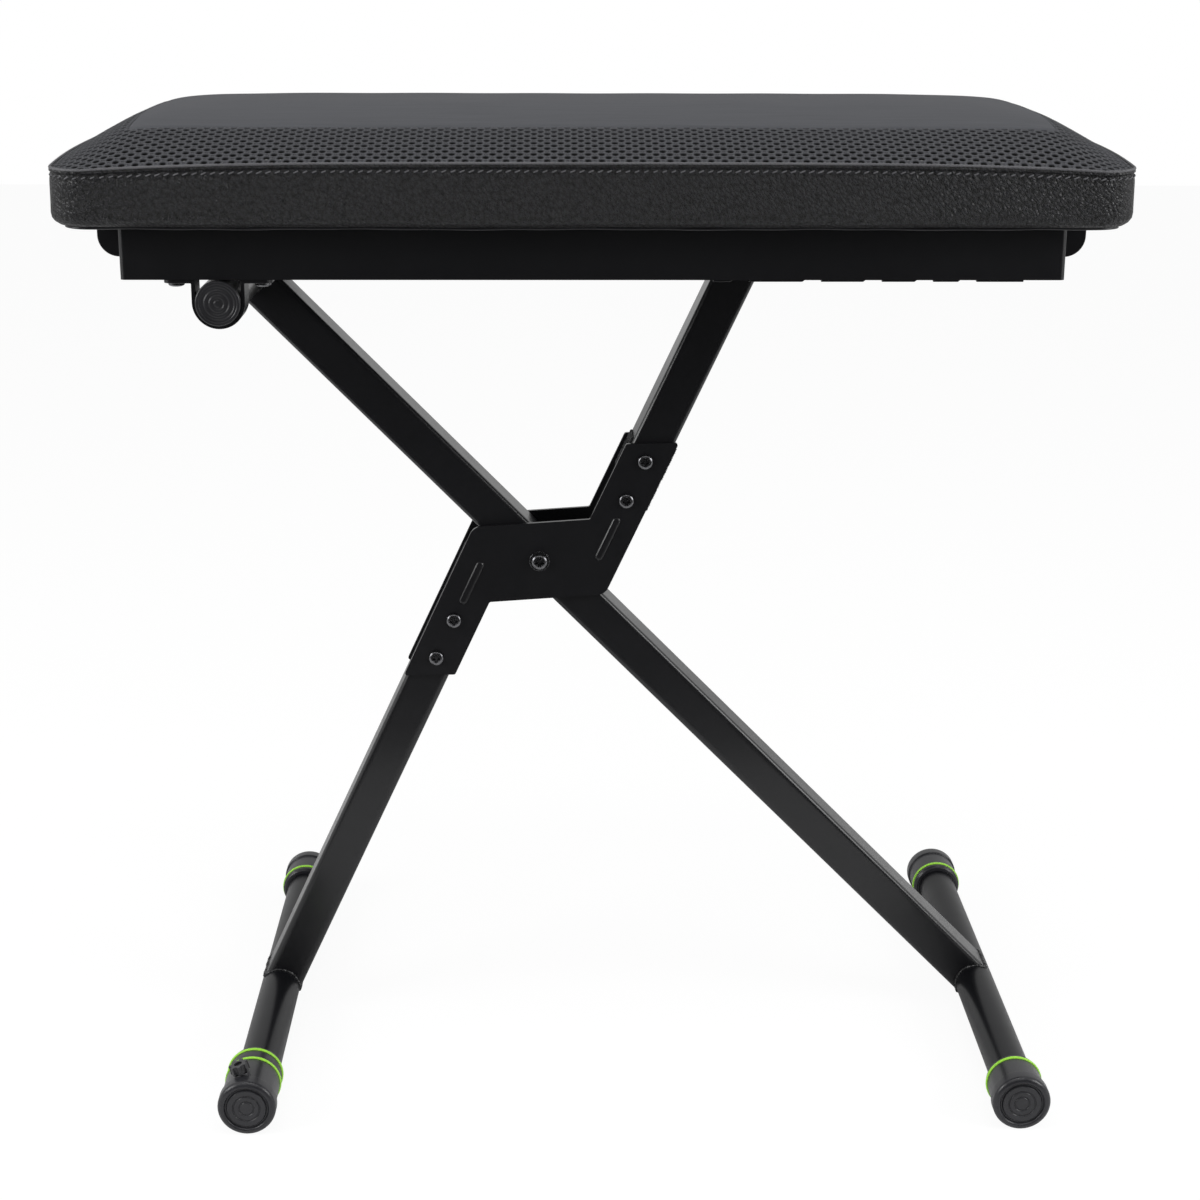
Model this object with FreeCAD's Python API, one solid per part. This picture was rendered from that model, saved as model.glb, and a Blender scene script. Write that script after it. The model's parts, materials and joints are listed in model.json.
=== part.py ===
import FreeCAD, Part
import math
import os

# Folding bench with a padded seat on an X-frame, in millimetres.
# +Z is up, X runs along the seat, Y from front (-) to rear (+).
# The origin is on the floor under the middle of the seat.

# Seat pad
SEAT_LENGTH = 600.0
SEAT_WIDTH = 300.0
SEAT_CORNER_R = 28.0
BAND_HEIGHT = 35.0
SEAM_CORNER_DROP = 3.4
CROWN_RISE = 24.5
CROWN_POWER_X = 10
CROWN_POWER_Y = 3
BORDER_END = 38.0
BORDER_SIDE = 48.5
PAD_BOTTOM_R = 8.0
COVER_T = 1.2
COVER_GAP = 0.3
BAND_HEM = 22.0
BOARD_T = 12.0
BOARD_INSET = 9.0
CROWN_COUNT_X = 17
CROWN_COUNT_Y = 11
CROWN_CROWDING_RATIO_X = 2.0
CROWN_CROWDING_RATIO_Y = 1.5
CROWN_OVERHANG = 4.0

# Rails under the board
RAIL_LENGTH = 530.0
RAIL_HEIGHT = 31.0
RAIL_INSET = 22.0
RAIL_T = 2.0
RAIL_BEND_R = 3.0
RAIL_FLANGE = 26.0
RAIL_LIP = 20.0
RAIL_LIP_END_X = 45.0
RAIL_END_FLANGE = 24.0

# Brackets across the ends of the rails
EAR_REACH = 17.0
EAR_DROP = 22.0
EAR_CORNER_R = 12.0
EAR_T = 2.0
EAR_WEB = 46.0
EAR_CLEARANCE = 0.5

# Notched racks that set the seat height
RACK_T = 4.0
RACK_LEAD = 35.7
RACK_TAIL = 11.0
RACK_BELOW_RAIL = 1.3
RACK_TOP_GAP = 1.0
NOTCH_COUNT = 5
NOTCH_FIRST_PITCH = 40.6
NOTCH_PITCH_RATIO = 0.845
NOTCH_CLEARANCE = 0.25

# Long leg, which runs in one piece from the seat to the right foot
PIVOT_X = -32.4
LONG_LEAN = -44.5
LONG_UPPER = 254.6
LONG_LOWER = 416.3
TUBE_WIDTH = 25.0
TUBE_DEPTH = 30.0
TUBE_WALL = 1.5
TUBE_CORNER_R = 3.0

# Short leg, in two halves set off to either side of the pivot
SHORT_LEAN = 25.0
HALF_OFFSET = 33.0
HALF_START = 15.0
PIN_RISE = 17.0
LOCK_BAR_R = 9.5
LOCK_BAR_WALL = 1.5
LOCK_BAR_END_GAP = 4.0
PIN_R = 3.0
PIN_END_GAP = 0.3
PIN_PLUG_DEPTH = 14.0

# Z-shaped plates that join the two halves
PLATE_T = 2.5
PLATE_INNER = 17.4
PLATE_OUTER = 47.0
PLATE_TOP_INNER = 91.5
PLATE_TOP_OUTER = 106.0
PLATE_ELBOW_S = -2.5
PLATE_CROTCH_S = 38.0
PLATE_ELBOW_R = 8.0
PLATE_CORNER_R = 1.6
BEAD_NEAR = 18.5
BEAD_FAR = 44.0
BEAD_R = 1.9
BEAD_RISE = 0.8
SCREW_NEAR = 58.6
SCREW_FAR = 86.2

# Pivot
PIVOT_BOLT_R = 3.0
PIVOT_RUNNING = 0.05
PIVOT_BUSH_R = 6.0
PIVOT_HEAD_R = 5.0
PIVOT_HEAD_H = 3.6
PIVOT_WASHER_R = 6.4
PIVOT_WASHER_T = 1.0
NYLON_R = 12.0
NYLON_T = 0.8
NYLON_GAP = 0.1

# Screws and nuts
SCREW_R = 2.5
SCREW_HEAD_R = 4.6
SCREW_HEAD_H = 2.8
HOLE_CLEARANCE = 0.1
NUT_FLATS = 8.0
NUT_H = 4.7
BOLT_END = 1.2
HEAD_BEVEL_SHARE = 0.5
WOOD_SCREW_R = 2.0
WOOD_SCREW_BITE = 9.0
WOOD_SCREW_XS = (-235.0, -80.0, 20.0, 238.0)

# Round bars
BAR_R = 12.7
BAR_WALL = 1.5
FOOT_LENGTH = 354.8
CROSSBAR_PROUD = 3.0
PLUG_T = 2.4
PLUG_DEPTH = 14.0
PLUG_RING_R = 8.6
PLUG_RING_W = 1.0
PLUG_RING_DEPTH = 0.6
COPE_GAP = 0.05

# Saddles that hold the seat crossbar
SADDLE_T = 2.2
SADDLE_WIDTH = 18.0
SADDLE_RUNNING = 0.08
SADDLE_GAP = 0.3
SADDLE_EAR = 15.5
SADDLE_SCREW_X = 24.3

# Rubber caps on the feet
CAP_R = 17.6
CAP_BODY_R = 16.5
CAP_LENGTH = 33.0
CAP_FACE_T = 9.0
CAP_DISC_T = 9.5
CAP_STEP = 1.0
CAP_RIM_R = 3.6
CAP_CHAMFER = 1.6
CAP_FIT = 0.05
CAP_FACE_RING_R = 12.0
CAP_FACE_RING_W = 1.4
CAP_FACE_RING_DEPTH = 0.8
RING_W = 2.0
RING_BED = 1.0
RING_PROUD = 0.75
RING_BEVEL = 0.45
RING_FIT = 0.05
RING_FROM_MOUTH = 5.0

# Levelling cap and its clamp screw
LEVEL_LENGTH = 49.4
LEVEL_OFFSET = 1.5
LEVEL_RUNNING = 0.1
LEVEL_RING_PITCH = 11.0
LEVEL_RING_FROM_MOUTH = 4.9
THUMB_ANGLE = 107.0
THUMB_FROM_FACE = 13.2
THUMB_BOSS_R = 5.2
THUMB_BOSS_TOP = 18.9
THUMB_SCREW_R = 2.5
THUMB_RUNNING = 0.05
THUMB_TIP_GAP = 0.3
THUMB_HEAD_GAP = 0.3
THUMB_HEAD_R = 5.9
THUMB_HEAD_H = 5.4
THUMB_LOBES = 7
THUMB_LOBE_R = 1.5
THUMB_NUT_FLATS = 7.0
THUMB_NUT_H = 2.6

# Hook-and-loop strap on the upper half of the short leg
STRAP_WIDTH = 24.0
STRAP_T = 2.8
STRAP_BACK_T = 1.3
STRAP_START = 56.0
STRAP_END = 101.0
STRAP_BACK_START = 72.0
STRAP_BACK_END = 96.0

X_AXIS = FreeCAD.Vector(1, 0, 0)
Y_AXIS = FreeCAD.Vector(0, 1, 0)
Z_AXIS = FreeCAD.Vector(0, 0, 1)
OVERCUT = 1.0

# Places that follow from the sizes above
FOOT_Z = CAP_R
PIVOT_Z = FOOT_Z + LONG_LOWER * math.cos(math.radians(LONG_LEAN))
PIVOT = FreeCAD.Vector(PIVOT_X, 0, PIVOT_Z)
PLATE_Y = TUBE_DEPTH / 2
LONG_DEPTH = TUBE_DEPTH - 2 * (NYLON_T + NYLON_GAP)
FOOT_HALF = FOOT_LENGTH / 2
CAP_BACK = FOOT_HALF - CAP_LENGTH
BAR_END = FOOT_HALF - CAP_FACE_T
RAIL_OUT = SEAT_WIDTH / 2 - RAIL_INSET
RAIL_IN = RAIL_OUT - RAIL_T
CROSSBAR_HALF = RAIL_OUT + CROSSBAR_PROUD


def leg_point(lean, across, along, y=0.0):
    """A point of a leaning leg: along it from the pivot, and across it to the right."""
    turn = math.radians(lean)
    dx = across * math.cos(turn) + along * math.sin(turn)
    dz = along * math.cos(turn) - across * math.sin(turn)
    return PIVOT + FreeCAD.Vector(dx, y, dz)


CROSSBAR = leg_point(LONG_LEAN, 0, LONG_UPPER)
RIGHT_FOOT = leg_point(LONG_LEAN, 0, -LONG_LOWER)
RAIL_Z = CROSSBAR.z + BAR_R + SADDLE_GAP
PAD_Z = RAIL_Z + RAIL_HEIGHT
BOARD_Z = PAD_Z + COVER_T
SEAM_Z = PAD_Z + BAND_HEIGHT
PIN_Z = RAIL_Z + PIN_RISE


def half_at_height(side, z):
    """How far along its half of the short leg the tube's centre line reaches a height."""
    turn = math.radians(SHORT_LEAN)
    rise = z - PIVOT_Z + side * HALF_OFFSET * math.sin(turn)
    return rise / math.cos(turn)


PIN_ALONG = half_at_height(1, PIN_Z)
LOCK_PIN = leg_point(SHORT_LEAN, HALF_OFFSET, PIN_ALONG)
FOOT_ALONG = half_at_height(-1, FOOT_Z)
LEFT_FOOT = leg_point(SHORT_LEAN, -HALF_OFFSET, FOOT_ALONG)


def vec(x, y, z):
    return FreeCAD.Vector(x, y, z)


def rod(radius, start, end):
    """A solid round bar between two points."""
    line = end - start
    return Part.makeCylinder(radius, line.Length, start, line)


def pipe(radius, wall, start, end):
    """A round tube between two points."""
    line = end - start
    unit = vec(line.x, line.y, line.z)
    unit.normalize()
    bore = rod(radius - wall, start - unit * OVERCUT, end + unit * OVERCUT)
    return rod(radius, start, end).cut(bore)


def block(x0, x1, y0, y1, z0, z1):
    """A box between two corners."""
    return Part.makeBox(x1 - x0, y1 - y0, z1 - z0, vec(x0, y0, z0))


def rounded_rectangle(length, width, radius, z):
    """A flat face with rounded corners, centred on the Z axis."""
    half_x = length / 2
    half_y = width / 2
    plate = block(-half_x, half_x, -half_y, half_y, z, z + 1)
    edges = [e for e in plate.Edges if abs(e.Vertexes[0].Z - e.Vertexes[1].Z) > 0.5]
    plate = plate.makeFillet(radius, edges)
    return [f for f in plate.Faces if f.CenterOfMass.z < z + 1e-6][0]


def slab(length, width, radius, z0, z1):
    """A plate with rounded corners between two heights."""
    return rounded_rectangle(length, width, radius, z0).extrude(vec(0, 0, z1 - z0))


def leaning(shape, lean):
    """Turn a shape built upright at the origin into a leg's direction at the pivot."""
    placed = shape.copy()
    placed.rotate(vec(0, 0, 0), Y_AXIS, lean)
    placed.translate(PIVOT)
    return placed


def leg_tube(depth, across, start, end):
    """A rectangular leg tube, upright, with rounded corners and an open inside."""
    outer = slab(TUBE_WIDTH, depth, TUBE_CORNER_R, start, end)
    inner_r = TUBE_CORNER_R - TUBE_WALL
    inner = slab(TUBE_WIDTH - 2 * TUBE_WALL, depth - 2 * TUBE_WALL, inner_r, start - OVERCUT, end + OVERCUT)
    tube = outer.cut(inner)
    tube.translate(vec(across, 0, 0))
    return tube


def turned(points, base, direction):
    """Turn a profile of (radius, height) corners about a line that starts at a point."""
    corners = [vec(radius, 0, height) for radius, height in points]
    wire = Part.makePolygon(corners + corners[:1])
    shape = Part.Face(wire).revolve(vec(0, 0, 0), Z_AXIS, 360)
    shape.Placement = FreeCAD.Placement(base, FreeCAD.Rotation(Z_AXIS, direction))
    return shape


def turned_y(points, centre):
    """Turn a profile of (radius, y) corners about the Y line through a point."""
    return turned(points, vec(centre.x, 0, centre.z), Y_AXIS)


def mirrored(shape):
    """The same piece on the other side, front for rear."""
    return shape.mirror(vec(0, 0, 0), Y_AXIS)


def hexagon(flats, height, base, direction):
    """A hexagonal prism that stands on a point."""
    reach = flats / math.sqrt(3)
    turns = [math.radians(60 * i) for i in range(7)]
    corners = [vec(reach * math.cos(turn), reach * math.sin(turn), 0) for turn in turns]
    prism = Part.Face(Part.makePolygon(corners)).extrude(vec(0, 0, height))
    prism.Placement = FreeCAD.Placement(base, FreeCAD.Rotation(Z_AXIS, direction))
    return prism


def pan_screw(seat, direction, head_r, head_h, shank_r, shank_length):
    """A screw with a bevelled pan head on its seat and the shank the other way."""
    bevel = head_h * HEAD_BEVEL_SHARE
    profile = [(0, -shank_length), (shank_r, -shank_length), (shank_r, 0), (head_r, 0),
               (head_r, head_h - bevel), (head_r - bevel, head_h), (0, head_h)]
    return turned(profile, seat, direction)


def crown_height(x, y):
    """Rise of the cover over the seam: full over the middle, falling ever faster to the edges."""
    across_x = abs(x) / (SEAT_LENGTH / 2)
    across_y = abs(y) / (SEAT_WIDTH / 2)
    rise = CROWN_RISE * (1 - across_x ** CROWN_POWER_X) * (1 - across_y ** CROWN_POWER_Y)
    return rise - SEAM_CORNER_DROP * (across_x * across_y) ** CROWN_POWER_X


def spaced(half, count, bias):
    """Grid lines from one edge to the other, closer together near the edges."""
    steps = [2 * i / (count - 1) - 1 for i in range(count)]
    return [half * math.copysign(1 - (1 - abs(s)) ** bias, s) for s in steps]


def crown_surface(drop):
    """The crowned top of the pad as one smooth surface, lowered by an amount."""
    rows = []
    lines_y = spaced(SEAT_WIDTH / 2 + CROWN_OVERHANG, CROWN_COUNT_Y, CROWN_CROWDING_RATIO_Y)
    for x in spaced(SEAT_LENGTH / 2 + CROWN_OVERHANG, CROWN_COUNT_X, CROWN_CROWDING_RATIO_X):
        rows.append([vec(x, y, SEAM_Z + crown_height(x, y) - drop) for y in lines_y])
    surface = Part.BSplineSurface()
    surface.interpolate(rows)
    return surface.toShape()


def pad_form(inset):
    """The pad's sides and rounded underside, pulled in by an amount, with an open-ended top."""
    length = SEAT_LENGTH - 2 * inset
    width = SEAT_WIDTH - 2 * inset
    form = slab(length, width, SEAT_CORNER_R - inset, PAD_Z + inset, SEAM_Z + 2 * CROWN_RISE)
    bottom = [e for e in form.Edges if e.BoundBox.ZMax < PAD_Z + inset + 1e-6]
    return form.makeFillet(PAD_BOTTOM_R - inset, bottom)


def under_crown(form, drop):
    """Trim a form to the crowned top, lowered by an amount."""
    above = crown_surface(drop).extrude(vec(0, 0, 4 * CROWN_RISE))
    return form.cut(above)


def crown_layer():
    """The layer of cover material over the top of the pad."""
    form = slab(SEAT_LENGTH, SEAT_WIDTH, SEAT_CORNER_R, PAD_Z, SEAM_Z + 2 * CROWN_RISE)
    upper = under_crown(form, 0)
    return upper.common(crown_surface(COVER_T).extrude(vec(0, 0, 4 * CROWN_RISE)))


def make_covers():
    """Panel, mesh border and side band of the seat cover."""
    layer = crown_layer()
    length = SEAT_LENGTH - 2 * BORDER_END
    width = SEAT_WIDTH - 2 * BORDER_SIDE
    middle = slab(length, width, SEAT_CORNER_R / 4, SEAM_Z - CROWN_RISE, SEAM_Z + 2 * CROWN_RISE)
    panel = layer.common(middle)
    border = layer.cut(middle)
    hem_length = SEAT_LENGTH - 2 * BAND_HEM
    hem_width = SEAT_WIDTH - 2 * BAND_HEM
    hem_hole = slab(hem_length, hem_width, SEAT_CORNER_R / 4, PAD_Z - OVERCUT, BOARD_Z + OVERCUT)
    band = under_crown(pad_form(0).cut(pad_form(COVER_T)).cut(hem_hole), COVER_T)
    return panel, border, band


def make_under_cloth():
    """Dust cloth stapled under the board, inside the turned-in hem."""
    length = SEAT_LENGTH - 2 * BAND_HEM
    width = SEAT_WIDTH - 2 * BAND_HEM
    cloth = slab(length, width, SEAT_CORNER_R / 4, PAD_Z, BOARD_Z)
    return drill_for_wood_screws(cloth)


def make_board():
    """Plywood board that the foam and the rails are fixed to."""
    length = SEAT_LENGTH - 2 * BOARD_INSET
    width = SEAT_WIDTH - 2 * BOARD_INSET
    board = slab(length, width, SEAT_CORNER_R - BOARD_INSET, BOARD_Z, BOARD_Z + BOARD_T)
    return drill_for_wood_screws(board)


def make_foam():
    """Foam block that wraps the board's edges, crowned on top, just clear of the cover."""
    inset = COVER_T + COVER_GAP
    rim = BOARD_INSET - COVER_GAP
    pocket = slab(SEAT_LENGTH - 2 * rim, SEAT_WIDTH - 2 * rim, SEAT_CORNER_R - rim, PAD_Z - OVERCUT,
                  BOARD_Z + BOARD_T)
    return under_crown(pad_form(inset), inset).cut(pocket)


def wood_screw_points():
    """Where screws go up through the rail flanges, and through the end brackets."""
    y = RAIL_IN - RAIL_FLANGE / 2
    return [vec(x, side * y, 0) for x in WOOD_SCREW_XS for side in (-1, 1)]


def drill_for_wood_screws(shape):
    """Cut the pilot hole of each wood screw."""
    for point in wood_screw_points():
        start = vec(point.x, point.y, RAIL_Z)
        end = vec(point.x, point.y, PAD_Z + WOOD_SCREW_BITE + OVERCUT)
        shape = shape.cut(rod(WOOD_SCREW_R + HOLE_CLEARANCE, start, end))
    return shape


def make_wood_screws():
    """Screws that hold the rails to the board."""
    seat_z = PAD_Z - RAIL_T
    return [pan_screw(vec(p.x, p.y, seat_z), -Z_AXIS, SCREW_HEAD_R, SCREW_HEAD_H, WOOD_SCREW_R,
                      RAIL_T + WOOD_SCREW_BITE) for p in wood_screw_points()]


def make_rail():
    """Front rail: a channel with folded ends, and a lip that carries the saddle."""
    half = RAIL_LENGTH / 2
    body = block(-half, half, -RAIL_OUT, -RAIL_IN + RAIL_FLANGE, RAIL_Z, PAD_Z)
    uprights = [e for e in body.Edges if e.BoundBox.ZLength > 1 and e.BoundBox.YMax < -RAIL_OUT + 1e-6]
    body = body.makeFillet(RAIL_BEND_R, uprights)
    inside = block(-half + RAIL_T, half - RAIL_T, -RAIL_IN, RAIL_OUT, RAIL_Z - OVERCUT, PAD_Z - RAIL_T)
    corners = [e for e in inside.Edges if e.BoundBox.ZLength > 1 and e.BoundBox.YMax < -RAIL_IN + 1e-6]
    inside = inside.makeFillet(RAIL_BEND_R - RAIL_T, corners)
    body = body.cut(inside)
    end_cut = block(-half - OVERCUT, half + OVERCUT, -RAIL_IN + RAIL_END_FLANGE, 0, RAIL_Z - OVERCUT,
                    PAD_Z - RAIL_T)
    body = body.cut(end_cut)
    lip = block(-half + RAIL_T, RAIL_LIP_END_X, -RAIL_IN, -RAIL_OUT + RAIL_LIP, RAIL_Z, RAIL_Z + RAIL_T)
    body = body.fuse(lip).removeSplitter()
    for point in saddle_screw_points():
        body = body.cut(rod(SCREW_R + HOLE_CLEARANCE, vec(point.x, point.y, RAIL_Z - OVERCUT),
                            vec(point.x, point.y, RAIL_Z + 2 * RAIL_T)))
    return drill_for_wood_screws(body)


def notch_seats():
    """Pin places along the rack; equal drops of the seat need ever closer notches."""
    places = [LOCK_PIN.x]
    for i in range(NOTCH_COUNT - 1):
        places.append(places[-1] + NOTCH_FIRST_PITCH * NOTCH_PITCH_RATIO ** i)
    return places


def notch_cutter(x):
    """A slot that follows the arc of the lock pin as the leg closes and the seat lifts."""
    slot_r = PIN_R + NOTCH_CLEARANCE
    seat = vec(x, 0, PIN_Z)
    to_pivot = PIVOT - CROSSBAR
    centre = seat - to_pivot
    y0 = -RAIL_IN - OVERCUT
    depth = RACK_T + 2 * OVERCUT
    wide = Part.makeCylinder(LONG_UPPER + slot_r, depth, vec(centre.x, y0, centre.z), Y_AXIS)
    narrow = Part.makeCylinder(LONG_UPPER - slot_r, depth, vec(centre.x, y0, centre.z), Y_AXIS)
    mouth_z = RAIL_Z - RACK_BELOW_RAIL
    reach = 2 * (PIN_Z - mouth_z)
    window = block(x - reach, x + slot_r, y0, y0 + depth, mouth_z - slot_r, PIN_Z + slot_r)
    normal = vec(to_pivot.x, 0, to_pivot.z)
    normal.normalize()
    trim = block(-reach, reach, 0, depth, 0, reach)
    trim.Placement = FreeCAD.Placement(vec(x, y0, PIN_Z), FreeCAD.Rotation(X_AXIS, normal))
    lane = wide.cut(narrow).common(window).cut(trim)
    return lane.fuse(Part.makeCylinder(slot_r, depth, vec(x, y0, PIN_Z), Y_AXIS))


def make_rack():
    """Front rack: a steel strip with hooked notches for the lock pin."""
    seats = notch_seats()
    strip = block(seats[0] - RACK_LEAD, seats[-1] + RACK_TAIL, -RAIL_IN, -RAIL_IN + RACK_T,
                  RAIL_Z - RACK_BELOW_RAIL, PAD_Z - RAIL_T - RACK_TOP_GAP)
    for x in seats:
        strip = strip.cut(notch_cutter(x))
    return strip


def make_end_bracket():
    """Right-hand end bracket: a web under the board with a rounded ear at each end."""
    x0 = RAIL_LENGTH / 2 + EAR_REACH - EAR_WEB
    x1 = RAIL_LENGTH / 2 + EAR_REACH
    half = RAIL_IN - RAIL_FLANGE - EAR_CLEARANCE
    foot = PAD_Z - EAR_DROP
    body = block(x0, x1, -half, half, foot, PAD_Z)
    corner = [e for e in body.Edges if e.BoundBox.XMin > x1 - 1e-6 and e.BoundBox.ZMax < foot + 1e-6]
    body = body.makeFillet(EAR_CORNER_R, corner)
    between = half - EAR_T
    return body.cut(block(x0 - OVERCUT, x1 + OVERCUT, -between, between, foot - OVERCUT, PAD_Z - EAR_T))


def saddle_screw_points():
    """Screw places of the front saddle, one each side of the crossbar."""
    y = -RAIL_OUT + RAIL_LIP / 2
    return [vec(CROSSBAR.x + side * SADDLE_SCREW_X, y, 0) for side in (-1, 1)]


def make_saddle():
    """Front saddle: a strap bent round the crossbar and screwed under the rail's lip."""
    bore_r = BAR_R + SADDLE_RUNNING
    outer_r = bore_r + SADDLE_T
    y0 = -RAIL_OUT + (RAIL_LIP - SADDLE_WIDTH) / 2
    y1 = y0 + SADDLE_WIDTH
    low = rod(outer_r, vec(CROSSBAR.x, y0, CROSSBAR.z), vec(CROSSBAR.x, y1, CROSSBAR.z))
    sides = block(CROSSBAR.x - outer_r, CROSSBAR.x + outer_r, y0, y1, CROSSBAR.z, RAIL_Z)
    ears = block(CROSSBAR.x - outer_r - SADDLE_EAR, CROSSBAR.x + outer_r + SADDLE_EAR, y0, y1,
                 RAIL_Z - SADDLE_T, RAIL_Z)
    ends = [e for e in ears.Edges if e.BoundBox.ZLength > 1]
    ears = ears.makeFillet(SADDLE_WIDTH / 4, ends)
    bore = rod(bore_r, vec(CROSSBAR.x, y0 - OVERCUT, CROSSBAR.z), vec(CROSSBAR.x, y1 + OVERCUT, CROSSBAR.z))
    throat = block(CROSSBAR.x - bore_r, CROSSBAR.x + bore_r, y0 - OVERCUT, y1 + OVERCUT, CROSSBAR.z, RAIL_Z)
    above = block(CROSSBAR.x - outer_r, CROSSBAR.x + outer_r, y0, y1, RAIL_Z, RAIL_Z + outer_r)
    strap = low.fuse(sides).fuse(ears).cut(bore).cut(throat).cut(above).removeSplitter()
    for point in saddle_screw_points():
        strap = strap.cut(rod(SCREW_R + HOLE_CLEARANCE, vec(point.x, point.y, RAIL_Z - 2 * SADDLE_T),
                              vec(point.x, point.y, RAIL_Z + OVERCUT)))
    return strap


def make_saddle_screws():
    """Screws of both saddles, with their nuts on top of the lips."""
    screws = []
    nuts = []
    length = SADDLE_T + RAIL_T + NUT_H + BOLT_END
    for p in saddle_screw_points():
        for y in (p.y, -p.y):
            seat = vec(p.x, y, RAIL_Z - SADDLE_T)
            screws.append(pan_screw(seat, -Z_AXIS, SCREW_HEAD_R, SCREW_HEAD_H, SCREW_R, length))
            nuts.append(bored_nut(vec(p.x, y, RAIL_Z + RAIL_T), Z_AXIS))
    return screws, nuts


def bored_nut(base, direction):
    """A hexagon nut on the face it tightens against."""
    nut = hexagon(NUT_FLATS, NUT_H, base, direction)
    top = base + direction * (NUT_H + OVERCUT)
    return nut.cut(rod(SCREW_R + HOLE_CLEARANCE / 2, base - direction * OVERCUT, top))


def across_leg(centre, radius):
    """A round cutter right across a leg tube."""
    return rod(radius, centre - Y_AXIS * TUBE_DEPTH, centre + Y_AXIS * TUBE_DEPTH)


def make_long_leg():
    """Continuous leg tube, coped round the crossbar and the foot bar."""
    tube = leaning(leg_tube(LONG_DEPTH, 0, -LONG_LOWER, LONG_UPPER), LONG_LEAN)
    for centre in (CROSSBAR, RIGHT_FOOT):
        tube = tube.cut(across_leg(centre, BAR_R + COPE_GAP))
    return largest(tube.cut(across_leg(PIVOT, PIVOT_BUSH_R + COPE_GAP)))


def largest(shape):
    """The biggest solid of a cut shape, without the offcuts."""
    return max(shape.Solids, key=lambda solid: solid.Volume)


def make_pivot_bush():
    """Steel bush through the long leg, which turns on the pivot bolt."""
    half = LONG_DEPTH / 2
    wall = PIVOT_BUSH_R - PIVOT_BOLT_R - PIVOT_RUNNING
    return pipe(PIVOT_BUSH_R, wall, PIVOT - Y_AXIS * half, PIVOT + Y_AXIS * half)


def make_crossbar():
    """Round bar under the left end of the seat."""
    half = CROSSBAR_HALF - PLUG_T
    return pipe(BAR_R, BAR_WALL, CROSSBAR - Y_AXIS * half, CROSSBAR + Y_AXIS * half)


def make_crossbar_plug():
    """Front end plug: a flat head with a ring groove, and a ribbed stem in the tube."""
    face = -CROSSBAR_HALF
    seat = face + PLUG_T
    stem_r = BAR_R - BAR_WALL - CAP_FIT
    groove_in = PLUG_RING_R - PLUG_RING_W / 2
    groove_out = PLUG_RING_R + PLUG_RING_W / 2
    bevel = PLUG_T / 3
    floor = face + PLUG_RING_DEPTH
    profile = [(0, face), (groove_in, face), (groove_in, floor), (groove_out, floor), (groove_out, face),
               (BAR_R - bevel, face), (BAR_R, face + bevel), (BAR_R, seat), (stem_r, seat),
               (stem_r, seat + PLUG_DEPTH - bevel), (stem_r - bevel, seat + PLUG_DEPTH),
               (0, seat + PLUG_DEPTH)]
    return turned_y(profile, CROSSBAR)


def make_foot_bar(centre):
    """Round bar that a leg stands on."""
    return pipe(BAR_R, BAR_WALL, vec(centre.x, -BAR_END, centre.z), vec(centre.x, BAR_END, centre.z))


def ring_places(mouth, count, first, pitch):
    """Distances of the green rings from the middle of the bar."""
    return [mouth + first + i * pitch for i in range(count)]


def cap_form(centre, length, rings):
    """Front cap before it is bored: sleeve with ring grooves, wider rounded disc, grooved face."""
    mouth = length - FOOT_HALF
    disc = CAP_DISC_T - FOOT_HALF
    bed = CAP_BODY_R - RING_BED
    outline = [(0, mouth), (CAP_BODY_R - CAP_CHAMFER, mouth), (CAP_BODY_R, mouth - CAP_CHAMFER)]
    for y in rings:
        near = RING_W / 2 - y
        far = near - RING_W
        outline += [(CAP_BODY_R, near), (bed, near), (bed, far), (CAP_BODY_R, far)]
    outline += [(CAP_BODY_R, disc), (CAP_R, disc - CAP_STEP), (CAP_R, -FOOT_HALF), (0, -FOOT_HALF)]
    cap = turned_y(outline, centre)
    rims = [e for e in cap.Edges if e.BoundBox.YMax < -FOOT_HALF + 1e-6 and e.BoundBox.XLength > CAP_R]
    cap = cap.makeFillet(CAP_RIM_R, rims)
    outer = CAP_FACE_RING_R + CAP_FACE_RING_W / 2
    face = vec(centre.x, -FOOT_HALF, centre.z)
    floor = face + Y_AXIS * CAP_FACE_RING_DEPTH
    return cap.cut(pipe(outer, CAP_FACE_RING_W, face - Y_AXIS * OVERCUT, floor))


def foot_bore(centre, radius, length):
    """The bore of a front cap, from the end of the foot bar out through the mouth."""
    mouth = FOOT_HALF - length - OVERCUT
    return rod(radius, vec(centre.x, -BAR_END, centre.z), vec(centre.x, -mouth, centre.z))


def make_cap(centre):
    """Front cap of a foot bar."""
    cap = cap_form(centre, CAP_LENGTH, cap_rings())
    return cap.cut(foot_bore(centre, BAR_R + CAP_FIT, CAP_LENGTH))


def cap_rings():
    """The one ring of a plain cap."""
    return ring_places(CAP_BACK, 1, RING_FROM_MOUTH, 0)


def level_rings():
    """The two rings of the levelling cap."""
    return ring_places(FOOT_HALF - LEVEL_LENGTH, 2, LEVEL_RING_FROM_MOUTH, LEVEL_RING_PITCH)


def make_rings(centre, places):
    """Green rings in the grooves of a cap; a negative place is at the front."""
    inner = CAP_BODY_R - RING_BED + RING_FIT
    outer = CAP_BODY_R + RING_PROUD
    half = RING_W / 2
    profile = [(inner, -half), (outer - RING_BEVEL, -half), (outer, RING_BEVEL - half),
               (outer, half - RING_BEVEL), (outer - RING_BEVEL, half), (inner, half)]
    return [turned_y([(radius, y + rise) for radius, rise in profile], centre) for y in places]


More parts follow.
